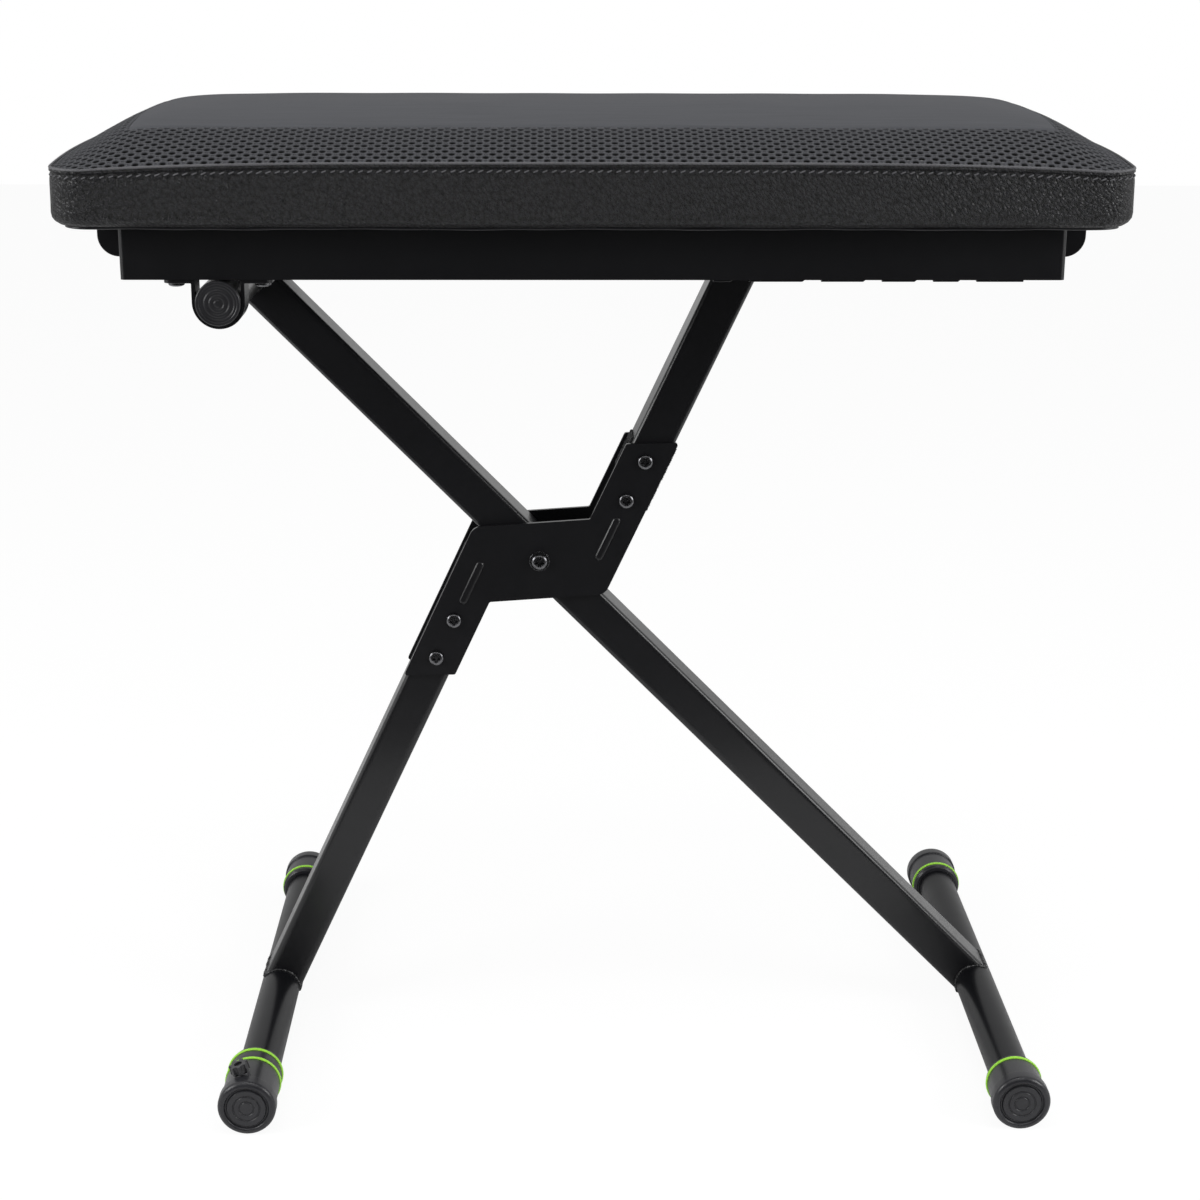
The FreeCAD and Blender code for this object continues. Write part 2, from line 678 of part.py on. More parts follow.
def thumb_frame():
    """Where the clamp screw crosses the foot bar's centre, and the way it points."""
    turn = math.radians(THUMB_ANGLE)
    origin = vec(LEFT_FOOT.x, -FOOT_HALF + THUMB_FROM_FACE, LEFT_FOOT.z)
    return origin, vec(math.cos(turn), 0, math.sin(turn))


def level_centre():
    """Centre of the levelling cap's outside, off to one side of the bar."""
    return LEFT_FOOT - X_AXIS * LEVEL_OFFSET


def make_levelling_cap():
    """Cap with an off-centre bore, so that turning it raises or lowers its corner."""
    cap = cap_form(level_centre(), LEVEL_LENGTH, level_rings())
    origin, out = thumb_frame()
    boss = Part.makeCylinder(THUMB_BOSS_R, THUMB_BOSS_TOP, origin, out)
    cap = cap.fuse(boss)
    bore = foot_bore(LEFT_FOOT, BAR_R + LEVEL_RUNNING, LEVEL_LENGTH)
    screw_hole = rod(THUMB_SCREW_R + THUMB_RUNNING, origin, origin + out * (THUMB_BOSS_TOP + OVERCUT))
    nut_base = origin + out * (THUMB_BOSS_TOP - THUMB_NUT_H)
    pocket = hexagon(THUMB_NUT_FLATS, THUMB_NUT_H + OVERCUT, nut_base, out)
    return largest(cap.cut(bore).cut(screw_hole).cut(pocket).removeSplitter())


def make_clamp_nut():
    """Brass nut pressed into the boss of the levelling cap."""
    origin, out = thumb_frame()
    base = origin + out * (THUMB_BOSS_TOP - THUMB_NUT_H)
    nut = hexagon(THUMB_NUT_FLATS, THUMB_NUT_H, base, out)
    return nut.cut(rod(THUMB_SCREW_R + THUMB_RUNNING, base - out, base + out * (THUMB_NUT_H + OVERCUT)))


def make_thumbscrew():
    """Clamp screw with a lobed head."""
    origin, out = thumb_frame()
    head_z = THUMB_BOSS_TOP + THUMB_HEAD_GAP
    head = Part.makeCylinder(THUMB_HEAD_R, THUMB_HEAD_H, vec(0, 0, head_z))
    for i in range(THUMB_LOBES):
        turn = 2 * math.pi * i / THUMB_LOBES
        place = vec(THUMB_HEAD_R * math.cos(turn), THUMB_HEAD_R * math.sin(turn), head_z - OVERCUT)
        head = head.cut(Part.makeCylinder(THUMB_LOBE_R, THUMB_HEAD_H + 2 * OVERCUT, place))
    dimple = Part.makeCylinder(THUMB_SCREW_R, THUMB_HEAD_H / 4, vec(0, 0, head_z + THUMB_HEAD_H * 0.75))
    tip = BAR_R + THUMB_TIP_GAP
    shank = Part.makeCylinder(THUMB_SCREW_R, head_z + THUMB_HEAD_H / 2 - tip, vec(0, 0, tip))
    screw = head.cut(dimple).fuse(shank).removeSplitter()
    screw.Placement = FreeCAD.Placement(origin, FreeCAD.Rotation(Z_AXIS, out))
    return screw


def half_leg(across, start, end, bars):
    """One half of the short leg, drilled for its plate screws and coped to a bar."""
    tube = leaning(leg_tube(TUBE_DEPTH, across, start, end), SHORT_LEAN)
    for along in (SCREW_NEAR, SCREW_FAR):
        place = leg_point(SHORT_LEAN, across, math.copysign(along, end + start))
        tube = tube.cut(across_leg(place, SCREW_R + HOLE_CLEARANCE))
    for centre, radius in bars:
        tube = tube.cut(across_leg(centre, radius + COPE_GAP))
    return largest(tube)


def make_upper_half():
    """Upper half of the short leg, up to the lock bar."""
    return half_leg(HALF_OFFSET, HALF_START, PIN_ALONG, [(LOCK_PIN, LOCK_BAR_R)])


def make_lower_half():
    """Lower half of the short leg, down to the left foot bar."""
    return half_leg(-HALF_OFFSET, FOOT_ALONG, -HALF_START, [(LEFT_FOOT, BAR_R)])


def plate_corners():
    """Outline of the Z-shaped plate as (across, along) corners with their radii."""
    half = [(PLATE_INNER, PLATE_TOP_INNER, PLATE_CORNER_R), (PLATE_OUTER, PLATE_TOP_OUTER, PLATE_CORNER_R),
            (PLATE_OUTER, PLATE_ELBOW_S, PLATE_ELBOW_R), (-PLATE_INNER, -PLATE_CROTCH_S, PLATE_CORNER_R)]
    return half + [(-across, -along, radius) for across, along, radius in half]


def rounded_outline(corners):
    """A closed wire through corners in the XZ plane, each rounded by a tangent arc."""
    points = [vec(x, 0, z) for x, z, radius in corners]
    starts = []
    edges = []
    for i, (x, z, radius) in enumerate(corners):
        point = points[i]
        back = points[i - 1] - point
        ahead = points[(i + 1) % len(points)] - point
        back.normalize()
        ahead.normalize()
        half_angle = back.getAngle(ahead) / 2
        reach = radius / math.tan(half_angle)
        middle = back + ahead
        middle.normalize()
        top = point + middle * (radius / math.sin(half_angle) - radius)
        starts.append((point + back * reach, top, point + ahead * reach))
    for i, (begin, top, finish) in enumerate(starts):
        edges.append(Part.Arc(begin, top, finish).toShape())
        following = starts[(i + 1) % len(starts)][0]
        edges.append(Part.LineSegment(finish, following).toShape())
    return Part.Wire(edges)


def make_plate():
    """Front plate: flat steel with a raised bead on each arm, upright at the origin."""
    face = Part.Face(rounded_outline(plate_corners()))
    plate = face.extrude(vec(0, -PLATE_T, 0))
    plate.translate(vec(0, -PLATE_Y, 0))
    outer = -PLATE_Y - PLATE_T
    reach = 2 * BEAD_FAR
    crest = block(-reach, reach, outer - BEAD_RISE, outer + PLATE_T / 2, -reach, reach)
    for side in (-1, 1):
        near = vec(side * HALF_OFFSET, outer, side * BEAD_NEAR)
        far = vec(side * HALF_OFFSET, outer, side * BEAD_FAR)
        bead = rod(BEAD_R, near, far).fuse(Part.makeSphere(BEAD_R, near)).fuse(Part.makeSphere(BEAD_R, far))
        plate = plate.fuse(bead.common(crest))
        for along in (SCREW_NEAR, SCREW_FAR):
            place = vec(side * HALF_OFFSET, 0, side * along)
            plate = plate.cut(rod(SCREW_R + HOLE_CLEARANCE, place - Y_AXIS * 2 * TUBE_DEPTH, place))
    plate = plate.cut(rod(PIVOT_BOLT_R + HOLE_CLEARANCE, vec(0, -2 * TUBE_DEPTH, 0), vec(0, 0, 0)))
    return leaning(plate.removeSplitter(), SHORT_LEAN)


def plate_screw_places():
    """The four screws that clamp the plates to the two halves."""
    return [leg_point(SHORT_LEAN, side * HALF_OFFSET, side * along)
            for side in (-1, 1) for along in (SCREW_NEAR, SCREW_FAR)]


def make_plate_screws():
    """Through screws of the plates, with their nuts at the rear."""
    face = PLATE_Y + PLATE_T
    screws = []
    nuts = []
    for place in plate_screw_places():
        length = 2 * face + NUT_H + BOLT_END
        screws.append(pan_screw(place - Y_AXIS * face, -Y_AXIS, SCREW_HEAD_R, SCREW_HEAD_H, SCREW_R, length))
        nuts.append(bored_nut(place + Y_AXIS * face, Y_AXIS))
    return screws, nuts


def make_pivot_bolt():
    """Bolt through both plates and the bush of the long leg."""
    face = PLATE_Y + PLATE_T + PIVOT_WASHER_T
    length = 2 * face + NUT_H + BOLT_END
    return pan_screw(PIVOT - Y_AXIS * face, -Y_AXIS, PIVOT_HEAD_R, PIVOT_HEAD_H, PIVOT_BOLT_R, length)


def make_pivot_washers():
    """Steel washers under the head and under the nut."""
    face = PLATE_Y + PLATE_T
    wall = PIVOT_WASHER_R - PIVOT_BOLT_R - HOLE_CLEARANCE
    front = pipe(PIVOT_WASHER_R, wall, PIVOT - Y_AXIS * (face + PIVOT_WASHER_T), PIVOT - Y_AXIS * face)
    return [front, mirrored(front)]


def make_pivot_nut():
    """Lock nut behind the rear plate."""
    base = PIVOT + Y_AXIS * (PLATE_Y + PLATE_T + PIVOT_WASHER_T)
    nut = hexagon(NUT_FLATS + 2 * (PIVOT_BOLT_R - SCREW_R), NUT_H, base, Y_AXIS)
    return nut.cut(rod(PIVOT_BOLT_R + HOLE_CLEARANCE / 2, base - Y_AXIS, base + Y_AXIS * (NUT_H + OVERCUT)))


def make_nylon_washers():
    """Thin nylon washers that keep the long leg off the plates."""
    wall = NYLON_R - PIVOT_BOLT_R - HOLE_CLEARANCE
    front = pipe(NYLON_R, wall, PIVOT - Y_AXIS * PLATE_Y, PIVOT - Y_AXIS * (PLATE_Y - NYLON_T))
    return [front, mirrored(front)]


def lock_bar_end():
    """Half the length of the lock bar, short of the racks."""
    return RAIL_IN - RACK_T - LOCK_BAR_END_GAP


def make_lock_bar():
    """Bar across the top of the short leg."""
    half = lock_bar_end()
    return pipe(LOCK_BAR_R, LOCK_BAR_WALL, LOCK_PIN - Y_AXIS * half, LOCK_PIN + Y_AXIS * half)


def make_lock_pin():
    """Front lock pin: a plug in the end of the lock bar with the pin turned on it."""
    face = -lock_bar_end()
    tip = -RAIL_IN + PIN_END_GAP
    stem_r = LOCK_BAR_R - LOCK_BAR_WALL - CAP_FIT
    bevel = PIN_R / 4
    profile = [(0, tip), (PIN_R - bevel, tip), (PIN_R, tip + bevel), (PIN_R, face - OVERCUT),
               (LOCK_BAR_R - OVERCUT, face - OVERCUT), (LOCK_BAR_R, face), (stem_r, face),
               (stem_r, face + PIN_PLUG_DEPTH), (0, face + PIN_PLUG_DEPTH)]
    return turned_y(profile, LOCK_PIN)


def make_strap():
    """Hook-and-loop strap: a folded stack outside the upper tube and its tail inside."""
    half = STRAP_WIDTH / 2
    out_x = HALF_OFFSET + TUBE_WIDTH / 2
    in_x = HALF_OFFSET - TUBE_WIDTH / 2
    stack = block(out_x, out_x + STRAP_T, -half, half, STRAP_START, STRAP_END)
    ends = [e for e in stack.Edges if e.BoundBox.YLength > 1 and e.BoundBox.XMin > out_x + 1e-6]
    stack = stack.makeFillet(STRAP_T * 0.45, ends)
    tail = block(in_x - STRAP_BACK_T, in_x, -half, half, STRAP_BACK_START, STRAP_BACK_END)
    return [leaning(stack, SHORT_LEAN), leaning(tail, SHORT_LEAN)]


def left_and_right(piece):
    """A piece and its twin at the other end of the seat."""
    return piece.mirror(vec(0, 0, 0), X_AXIS), piece


def build():
    """Every sub-part by name; a list is a group of like pieces."""
    parts = {}
    panel, border, band = make_covers()
    parts["cover_top_panel"] = panel
    parts["cover_mesh_border"] = border
    parts["cover_side_band"] = band
    parts["seat_foam"] = make_foam()
    parts["seat_board"] = make_board()
    parts["under_cloth"] = make_under_cloth()
    parts["board_screws"] = make_wood_screws()
    parts["left_end_bracket"], parts["right_end_bracket"] = left_and_right(make_end_bracket())
    for name, piece in (("rail", make_rail()), ("rack", make_rack()), ("saddle", make_saddle()),
                        ("crossbar_plug", make_crossbar_plug()), ("bracket_plate", make_plate()),
                        ("lock_pin", make_lock_pin())):
        parts["front_" + name] = piece
        parts["rear_" + name] = mirrored(piece)
    parts["saddle_screws"], parts["saddle_nuts"] = make_saddle_screws()
    parts["long_leg"] = make_long_leg()
    parts["pivot_bush"] = make_pivot_bush()
    parts["seat_crossbar"] = make_crossbar()
    parts["right_foot_bar"] = make_foot_bar(RIGHT_FOOT)
    right_cap = make_cap(RIGHT_FOOT)
    parts["right_front_cap"] = right_cap
    parts["right_rear_cap"] = mirrored(right_cap)
    both_ends = [side * y for y in cap_rings() for side in (-1, 1)]
    parts["right_cap_rings"] = make_rings(RIGHT_FOOT, both_ends)
    parts["upper_half_leg"] = make_upper_half()
    parts["lower_half_leg"] = make_lower_half()
    parts["plate_screws"], parts["plate_nuts"] = make_plate_screws()
    parts["pivot_bolt"] = make_pivot_bolt()
    parts["pivot_washers"] = make_pivot_washers()
    parts["pivot_nut"] = make_pivot_nut()
    parts["nylon_washers"] = make_nylon_washers()
    parts["lock_bar"] = make_lock_bar()
    parts["leg_strap"] = make_strap()
    parts["left_foot_bar"] = make_foot_bar(LEFT_FOOT)
    parts["left_rear_cap"] = mirrored(make_cap(LEFT_FOOT))
    parts["left_cap_ring"] = make_rings(LEFT_FOOT, cap_rings())
    parts["levelling_cap"] = make_levelling_cap()
    parts["levelling_rings"] = make_rings(level_centre(), [-y for y in level_rings()])
    parts["clamp_nut"] = make_clamp_nut()
    parts["thumbscrew"] = make_thumbscrew()
    return parts


def export(parts):
    """Write one STEP file for each sub-part."""
    os.makedirs("parts", exist_ok=True)
    for name, piece in parts.items():
        shape = Part.makeCompound(piece) if isinstance(piece, list) else piece
        shape.exportStep("parts/" + name + ".step")
        print(name, len(shape.Solids), round(shape.Volume, 1))


export(build())
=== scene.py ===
# %% [markdown]
# # A folding bench, piece by piece
# The bench is a padded seat on an X of two legs. Its steel parts were built to size beforehand, and
# this lesson loads them as a fixed frame and gives every piece its skin and finish. We start with the
# frame itself, because each later place is read from it and none is guessed.

# %% Load the bench's frame
import json
import math

import bmesh
import bpy
import numpy as np
from mathutils import Matrix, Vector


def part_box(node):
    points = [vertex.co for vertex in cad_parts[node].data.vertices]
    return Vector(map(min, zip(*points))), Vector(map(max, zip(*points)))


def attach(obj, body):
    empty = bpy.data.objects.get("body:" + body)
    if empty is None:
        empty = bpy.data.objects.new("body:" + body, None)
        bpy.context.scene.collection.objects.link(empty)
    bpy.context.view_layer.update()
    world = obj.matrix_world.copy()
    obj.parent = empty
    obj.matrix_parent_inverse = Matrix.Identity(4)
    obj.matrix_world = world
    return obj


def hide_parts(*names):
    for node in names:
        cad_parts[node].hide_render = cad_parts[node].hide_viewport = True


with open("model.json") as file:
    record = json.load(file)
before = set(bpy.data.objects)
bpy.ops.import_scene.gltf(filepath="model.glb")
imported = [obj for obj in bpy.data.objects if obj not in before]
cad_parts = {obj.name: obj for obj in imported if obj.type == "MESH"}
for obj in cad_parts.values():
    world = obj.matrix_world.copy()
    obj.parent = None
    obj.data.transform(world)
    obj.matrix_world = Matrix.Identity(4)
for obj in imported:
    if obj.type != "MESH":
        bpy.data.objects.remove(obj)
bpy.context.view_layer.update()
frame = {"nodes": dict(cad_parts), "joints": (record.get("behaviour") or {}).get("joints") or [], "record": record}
record = frame["record"]
body_of = {node: body for body, nodes in record["behaviour"]["bodies"].items() for node in nodes}
slot_of = {part["node"]: part["material_slot"] for part in record["subparts"]}

# %% [markdown]
# ## Places
# A maker measures in millimetres, so we do too, and turn the numbers into metres only when a mesh is
# written. The pivot and the crossbar are joints of the frame. The feet and the lock bar are the
# middles of their bars.

# %% Read the places
MM = 0.001
SHORT_LEAN = math.radians(25.0)
HALF_OFFSET = 33.0
WALL = 1.5


def span(node):
    """Lowest and highest corner of a node at rest, in millimetres."""
    low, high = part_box(node)
    return np.array(low) / MM, np.array(high) / MM


def middle(node):
    """The middle of a node's box."""
    low, high = span(node)
    return (low + high) / 2


def extent(node):
    """A node's length along each axis."""
    low, high = span(node)
    return high - low


def joint_called(name):
    """A joint's entry in the frame."""
    return next(joint for joint in frame["joints"] if joint["name"] == name)


def joint_place(name):
    """The point that a joint turns about."""
    return np.array(joint_called(name)["pos_m"]) / MM


def unit(vector):
    """The same direction with a length of one."""
    return vector / np.linalg.norm(vector, axis=-1, keepdims=True)


X = np.array([1.0, 0.0, 0.0])
Y = np.array([0.0, 1.0, 0.0])
Z = np.array([0.0, 0.0, 1.0])
PIVOT = joint_place("leg_fold")
CROSSBAR = joint_place("seat_tilt")
RIGHT_FOOT = middle("right_foot_bar")
LEFT_FOOT = middle("left_foot_bar")
LOCK_BAR = middle("lock_bar")
BAR_R = extent("right_foot_bar")[2] / 2
LOCK_BAR_R = extent("lock_bar")[2] / 2
LONG_UP = unit(CROSSBAR - RIGHT_FOOT)
SHORT_UP = np.array([math.sin(SHORT_LEAN), 0.0, math.cos(SHORT_LEAN)])
SHORT_RIGHT = np.array([math.cos(SHORT_LEAN), 0.0, -math.sin(SHORT_LEAN)])
print("pivot at", PIVOT.round(1), "feet at", RIGHT_FOOT.round(1), LEFT_FOOT.round(1))

# %% [markdown]
# ## The camera
# A long lens from a little above the seat keeps the uprights nearly parallel. The camera's place and
# angles were solved from the bench's own edges, and its three axes follow from yaw, pitch and roll.

# %% Set the camera
CAMERA_PLACE = np.array([-20.2, -1387.7, 699.9])
CAMERA_YAW = 0.01907
CAMERA_PITCH = 0.29151
CAMERA_ROLL = 0.00324
LENS = 67.5
SENSOR = 36.0


def new_object(name, data):
    """An object in the scene, at the origin."""
    made = bpy.data.objects.new(name, data)
    bpy.context.scene.collection.objects.link(made)
    return made


def stand(made, right, up, back, place):
    """Turn an object to three axes and set it at a place in metres."""
    rows = np.vstack([np.column_stack([right, up, back, place]), [0, 0, 0, 1]])
    made.matrix_world = Matrix(rows.tolist())
    return made


def add_camera():
    """Look along (sin yaw cos pitch, cos yaw cos pitch, -sin pitch), rolled about that line."""
    ahead = np.array([math.sin(CAMERA_YAW) * math.cos(CAMERA_PITCH),
                      math.cos(CAMERA_YAW) * math.cos(CAMERA_PITCH), -math.sin(CAMERA_PITCH)])
    level = np.array([math.cos(CAMERA_YAW), -math.sin(CAMERA_YAW), 0.0])
    above = np.cross(level, ahead)
    right = math.cos(CAMERA_ROLL) * level + math.sin(CAMERA_ROLL) * above
    up = math.cos(CAMERA_ROLL) * above - math.sin(CAMERA_ROLL) * level
    data = bpy.data.cameras.new("camera")
    data.lens = LENS
    data.sensor_width = SENSOR
    camera = stand(new_object("camera", data), right, up, -ahead, CAMERA_PLACE * MM)
    bpy.context.scene.camera = camera
    return camera


print("camera at", tuple(add_camera().location))

# %% [markdown]
# ## Sockets that do sums
# Shader maths reads best as plain expressions. One small class wraps a node's output, and each
# operator on it adds a Math node. A Nodes object is a node tree in the making: its node method adds
# any node, with the settings first and then the values or links of its sockets. A Finish is such a
# tree in a material, with the patterns that most finishes need.

# %% Build the shader helpers
class Socket:
    """One output of a node, on which plain operators add Math nodes."""

    def __init__(self, nodes, output):
        self.nodes = nodes
        self.output = output

    def math(self, operation, first, second):
        return self.nodes.node("Math", {"operation": operation}, {0: first, 1: second})

    def __add__(self, other):
        return self.math("ADD", self, other)

    def __radd__(self, other):
        return self.math("ADD", other, self)

    def __sub__(self, other):
        return self.math("SUBTRACT", self, other)

    def __rsub__(self, other):
        return self.math("SUBTRACT", other, self)

    def __mul__(self, other):
        return self.math("MULTIPLY", self, other)

    def __rmul__(self, other):
        return self.math("MULTIPLY", other, self)


class Nodes:
    """The node tree of a material or a world, built from nothing."""

    def __init__(self, owner):
        owner.use_nodes = True
        self.tree = owner.node_tree
        self.tree.nodes.clear()

    def node(self, kind, settings=None, sockets=None, result=0):
        """Add a node of a kind, set it up, fill its sockets and give one of its outputs."""
        made = self.tree.nodes.new("ShaderNode" + kind)
        for key, value in (settings or {}).items():
            if key == "stops":
                self.set_stops(made.color_ramp, value)
            else:
                setattr(made, key, value)
        for key, value in (sockets or {}).items():
            self.feed(made.inputs[key], value)
        return Socket(self, made.outputs[result]) if made.outputs else None

    def set_stops(self, ramp, stops):
        """Give a ramp its (place, grey) stops."""
        while len(ramp.elements) < len(stops):
            ramp.elements.new(0.5)
        for element, (place, grey) in zip(ramp.elements, stops):
            element.position = place
            element.color = (grey, grey, grey, 1.0)

    def feed(self, socket, value):
        """Link a socket to an output, or set its plain value."""
        if isinstance(value, Socket):
            self.tree.links.new(value.output, socket)
        elif socket.type == "RGBA" and len(value) == 3:
            socket.default_value = (*value, 1.0)
        else:
            socket.default_value = value


class Finish(Nodes):
    """A material in the making, whose patterns lie in the piece's own coordinates."""

    def __init__(self, name):
        self.material = bpy.data.materials.new(name)
        super().__init__(self.material)
        self.place = self.node("TexCoord", result="Object")

    def show(self, shader):
        """Put a shader on the material's output."""
        self.node("OutputMaterial", {}, {"Surface": shader})
        return self.material

    def surface(self, values):
        """Put a Principled shader with these values on the output."""
        return self.show(self.node("BsdfPrincipled", {}, values))

    def stretched(self, stretch):
        """The coordinates scaled differently along each axis."""
        return self.node("Mapping", {}, {"Vector": self.place, "Scale": stretch})

    def noise(self, scale, detail=2.0, place=None):
        """Cloudy values from 0 to 1, with this many clouds to a metre."""
        return self.node("TexNoise", {}, {"Vector": place or self.place, "Scale": scale, "Detail": detail})

    def waves(self, direction, scale, distortion):
        """Bands across a direction."""
        return self.node("TexWave", {"bands_direction": direction},
                         {"Vector": self.place, "Scale": scale, "Distortion": distortion})

    def ramp(self, value, stops):
        """Map a value through (place, grey) stops."""
        return self.node("ValToRGB", {"stops": stops}, {"Fac": value})

    def blend(self, factor, first, second):
        """One colour turning into another as the factor goes from 0 to 1."""
        return self.node("Mix", {"data_type": "RGBA"}, {0: factor, 6: first, 7: second}, result=2)

    def bump(self, height, distance, strength=1.0):
        """A normal from a height, where a height of 1 stands this many metres high."""
        return self.node("Bump", {}, {"Height": height, "Distance": distance, "Strength": strength})


# %% [markdown]
# ## Painted and plated metal
# The legs, rails and plates are steel with a thin satin powder coat, which dries to a faint orange
# peel. Small bumps break up the reflections, and a slow cloud in the roughness keeps large faces from
# looking like plastic. The foot bars are the same paint in a greyer, slightly glossier batch.

# %% Mix the metals
def powder_coat(name, dark, light, gloss, shine, coat):
    """Satin powder coat between two near-black tones; gloss is its mean roughness."""
    finish = Finish(name)
    cloud = finish.noise(9.0, 3.0)
    peel = finish.noise(1500.0, 2.0)
    speck = finish.noise(4200.0, 1.0)
    height = peel * 0.8 + speck * 0.2
    return finish.surface({
        "Base Color": finish.blend(cloud, dark, light),
        "Roughness": gloss - 0.05 + finish.noise(70.0, 4.0) * 0.1,
        "Specular IOR Level": shine,
        "Coat Weight": coat,
        "Coat Roughness": 0.14,
        "Normal": finish.bump(height, 0.00004, 0.5),
    })


def bare_metal(name, tone, gloss, brushed):
    """Plated or blackened steel with fine machining marks."""
    finish = Finish(name)
    marks = finish.noise(900.0, 3.0, finish.stretched(brushed))
    stain = finish.noise(160.0, 3.0)
    dull = tuple(0.72 * part for part in tone)
    return finish.surface({
        "Base Color": finish.blend(stain, tone, dull),
        "Metallic": 1.0,
        "Roughness": gloss - 0.06 + marks * 0.14,
        "Normal": finish.bump(marks, 0.00002, 0.5),
    })


steel_black = powder_coat("steel_black", (0.0055, 0.0055, 0.0065), (0.0095, 0.0096, 0.0112), 0.34, 0.38,
                          0.35)
steel_grey = powder_coat("steel_grey", (0.0062, 0.0064, 0.0076), (0.0092, 0.0095, 0.0112), 0.30, 0.20,
                         0.0)
fastener = bare_metal("fastener", (0.20, 0.20, 0.21), 0.26, (1.0, 1.0, 1.0))
zinc = bare_metal("zinc", (0.52, 0.52, 0.54), 0.36, (1.0, 4.0, 1.0))
brass = bare_metal("brass", (0.70, 0.50, 0.20), 0.30, (1.0, 4.0, 1.0))
print("metals mixed:", [m.name for m in (steel_black, steel_grey, fastener, zinc, brass)])

# %% [markdown]
# ## Rubber, plastic and nylon
# Moulded parts keep the skin of their mould: very fine, even, and a little mottled where dust has
# settled. They are one family with four tones, so one function mixes them all.

# %% Mix the moulded finishes
def moulded(name, dark, light, gloss, skin):
    """A moulded skin: fine grain at skin clouds to a metre, over a slow mottle."""
    finish = Finish(name)
    mottle = finish.noise(45.0, 4.0)
    grain = finish.noise(skin, 2.0)
    return finish.surface({
        "Base Color": finish.blend(finish.ramp(mottle, [(0.3, 0.0), (0.7, 1.0)]), dark, light),
        "Roughness": gloss - 0.05 + mottle * 0.1,
        "Specular IOR Level": 0.45,
        "Normal": finish.bump(grain, 0.00005, 0.4),
    })


cap_rubber = moulded("cap_rubber", (0.018, 0.018, 0.021), (0.027, 0.027, 0.031), 0.30, 2600.0)
green_rubber = moulded("green_rubber", (0.36, 0.80, 0.055), (0.42, 0.88, 0.075), 0.42, 3000.0)
plug_plastic = moulded("plug_plastic", (0.018, 0.018, 0.020), (0.028, 0.028, 0.031), 0.30, 2200.0)
nylon = moulded("nylon", (0.66, 0.65, 0.60), (0.74, 0.73, 0.69), 0.45, 1800.0)
print("moulded finishes mixed")

# %% [markdown]
# ## Wood, foam and strap
# Inside the seat sit a plywood board and a foam block, with a dust cloth stapled underneath. The
# strap on the short leg is hook-and-loop tape, all matte fuzz.

# %% Mix the inside finishes
def mix_plywood():
    """Poplar veneer: long streaks along X, and thin glue lines between the plies."""
    finish = Finish("plywood")
    streak = finish.noise(60.0, 5.0, finish.stretched((0.12, 1.0, 1.0)))
    plies = finish.waves("Z", 95.0, 0.4)
    wood = finish.blend(streak, (0.46, 0.33, 0.19), (0.62, 0.47, 0.30))
    glued = finish.blend(finish.ramp(plies, [(0.0, 1.0), (0.12, 0.0)]), wood, (0.22, 0.13, 0.07))
    return finish.surface({"Base Color": glued, "Roughness": 0.55 + streak * 0.2,
                           "Normal": finish.bump(streak, 0.0001, 0.5)})


def mix_foam():
    """Open-cell foam: small round pits, painted darker towards their middles as shade."""
    finish = Finish("foam")
    pits = finish.node("TexVoronoi", {}, {"Vector": finish.place, "Scale": 900.0})
    # Painted shade: the colour is darkest at the middle of each pit, where the bump sinks deepest.
    return finish.surface({"Base Color": finish.blend(pits, (0.20, 0.20, 0.19), (0.42, 0.42, 0.39)),
                           "Roughness": 0.95, "Normal": finish.bump(pits, 0.0004, 0.8)})


def mix_fuzz(name, dark, light, scale):
    """Non-woven or looped cloth: tangled threads from warped noise."""
    finish = Finish(name)
    tangle = finish.node("TexNoise", {}, {"Vector": finish.place, "Scale": scale, "Detail": 4.0,
                                          "Roughness": 0.65, "Distortion": 1.6})
    return finish.surface({"Base Color": finish.blend(tangle, dark, light), "Roughness": 0.92,
                           "Sheen Weight": 0.15, "Normal": finish.bump(tangle, 0.0004, 0.9)})


plywood = mix_plywood()
foam = mix_foam()
dust_cloth = mix_fuzz("dust_cloth", (0.010, 0.010, 0.011), (0.028, 0.028, 0.030), 700.0)
hook_strap = mix_fuzz("hook_strap", (0.004, 0.004, 0.005), (0.018, 0.018, 0.020), 1400.0)
print("inside finishes mixed")
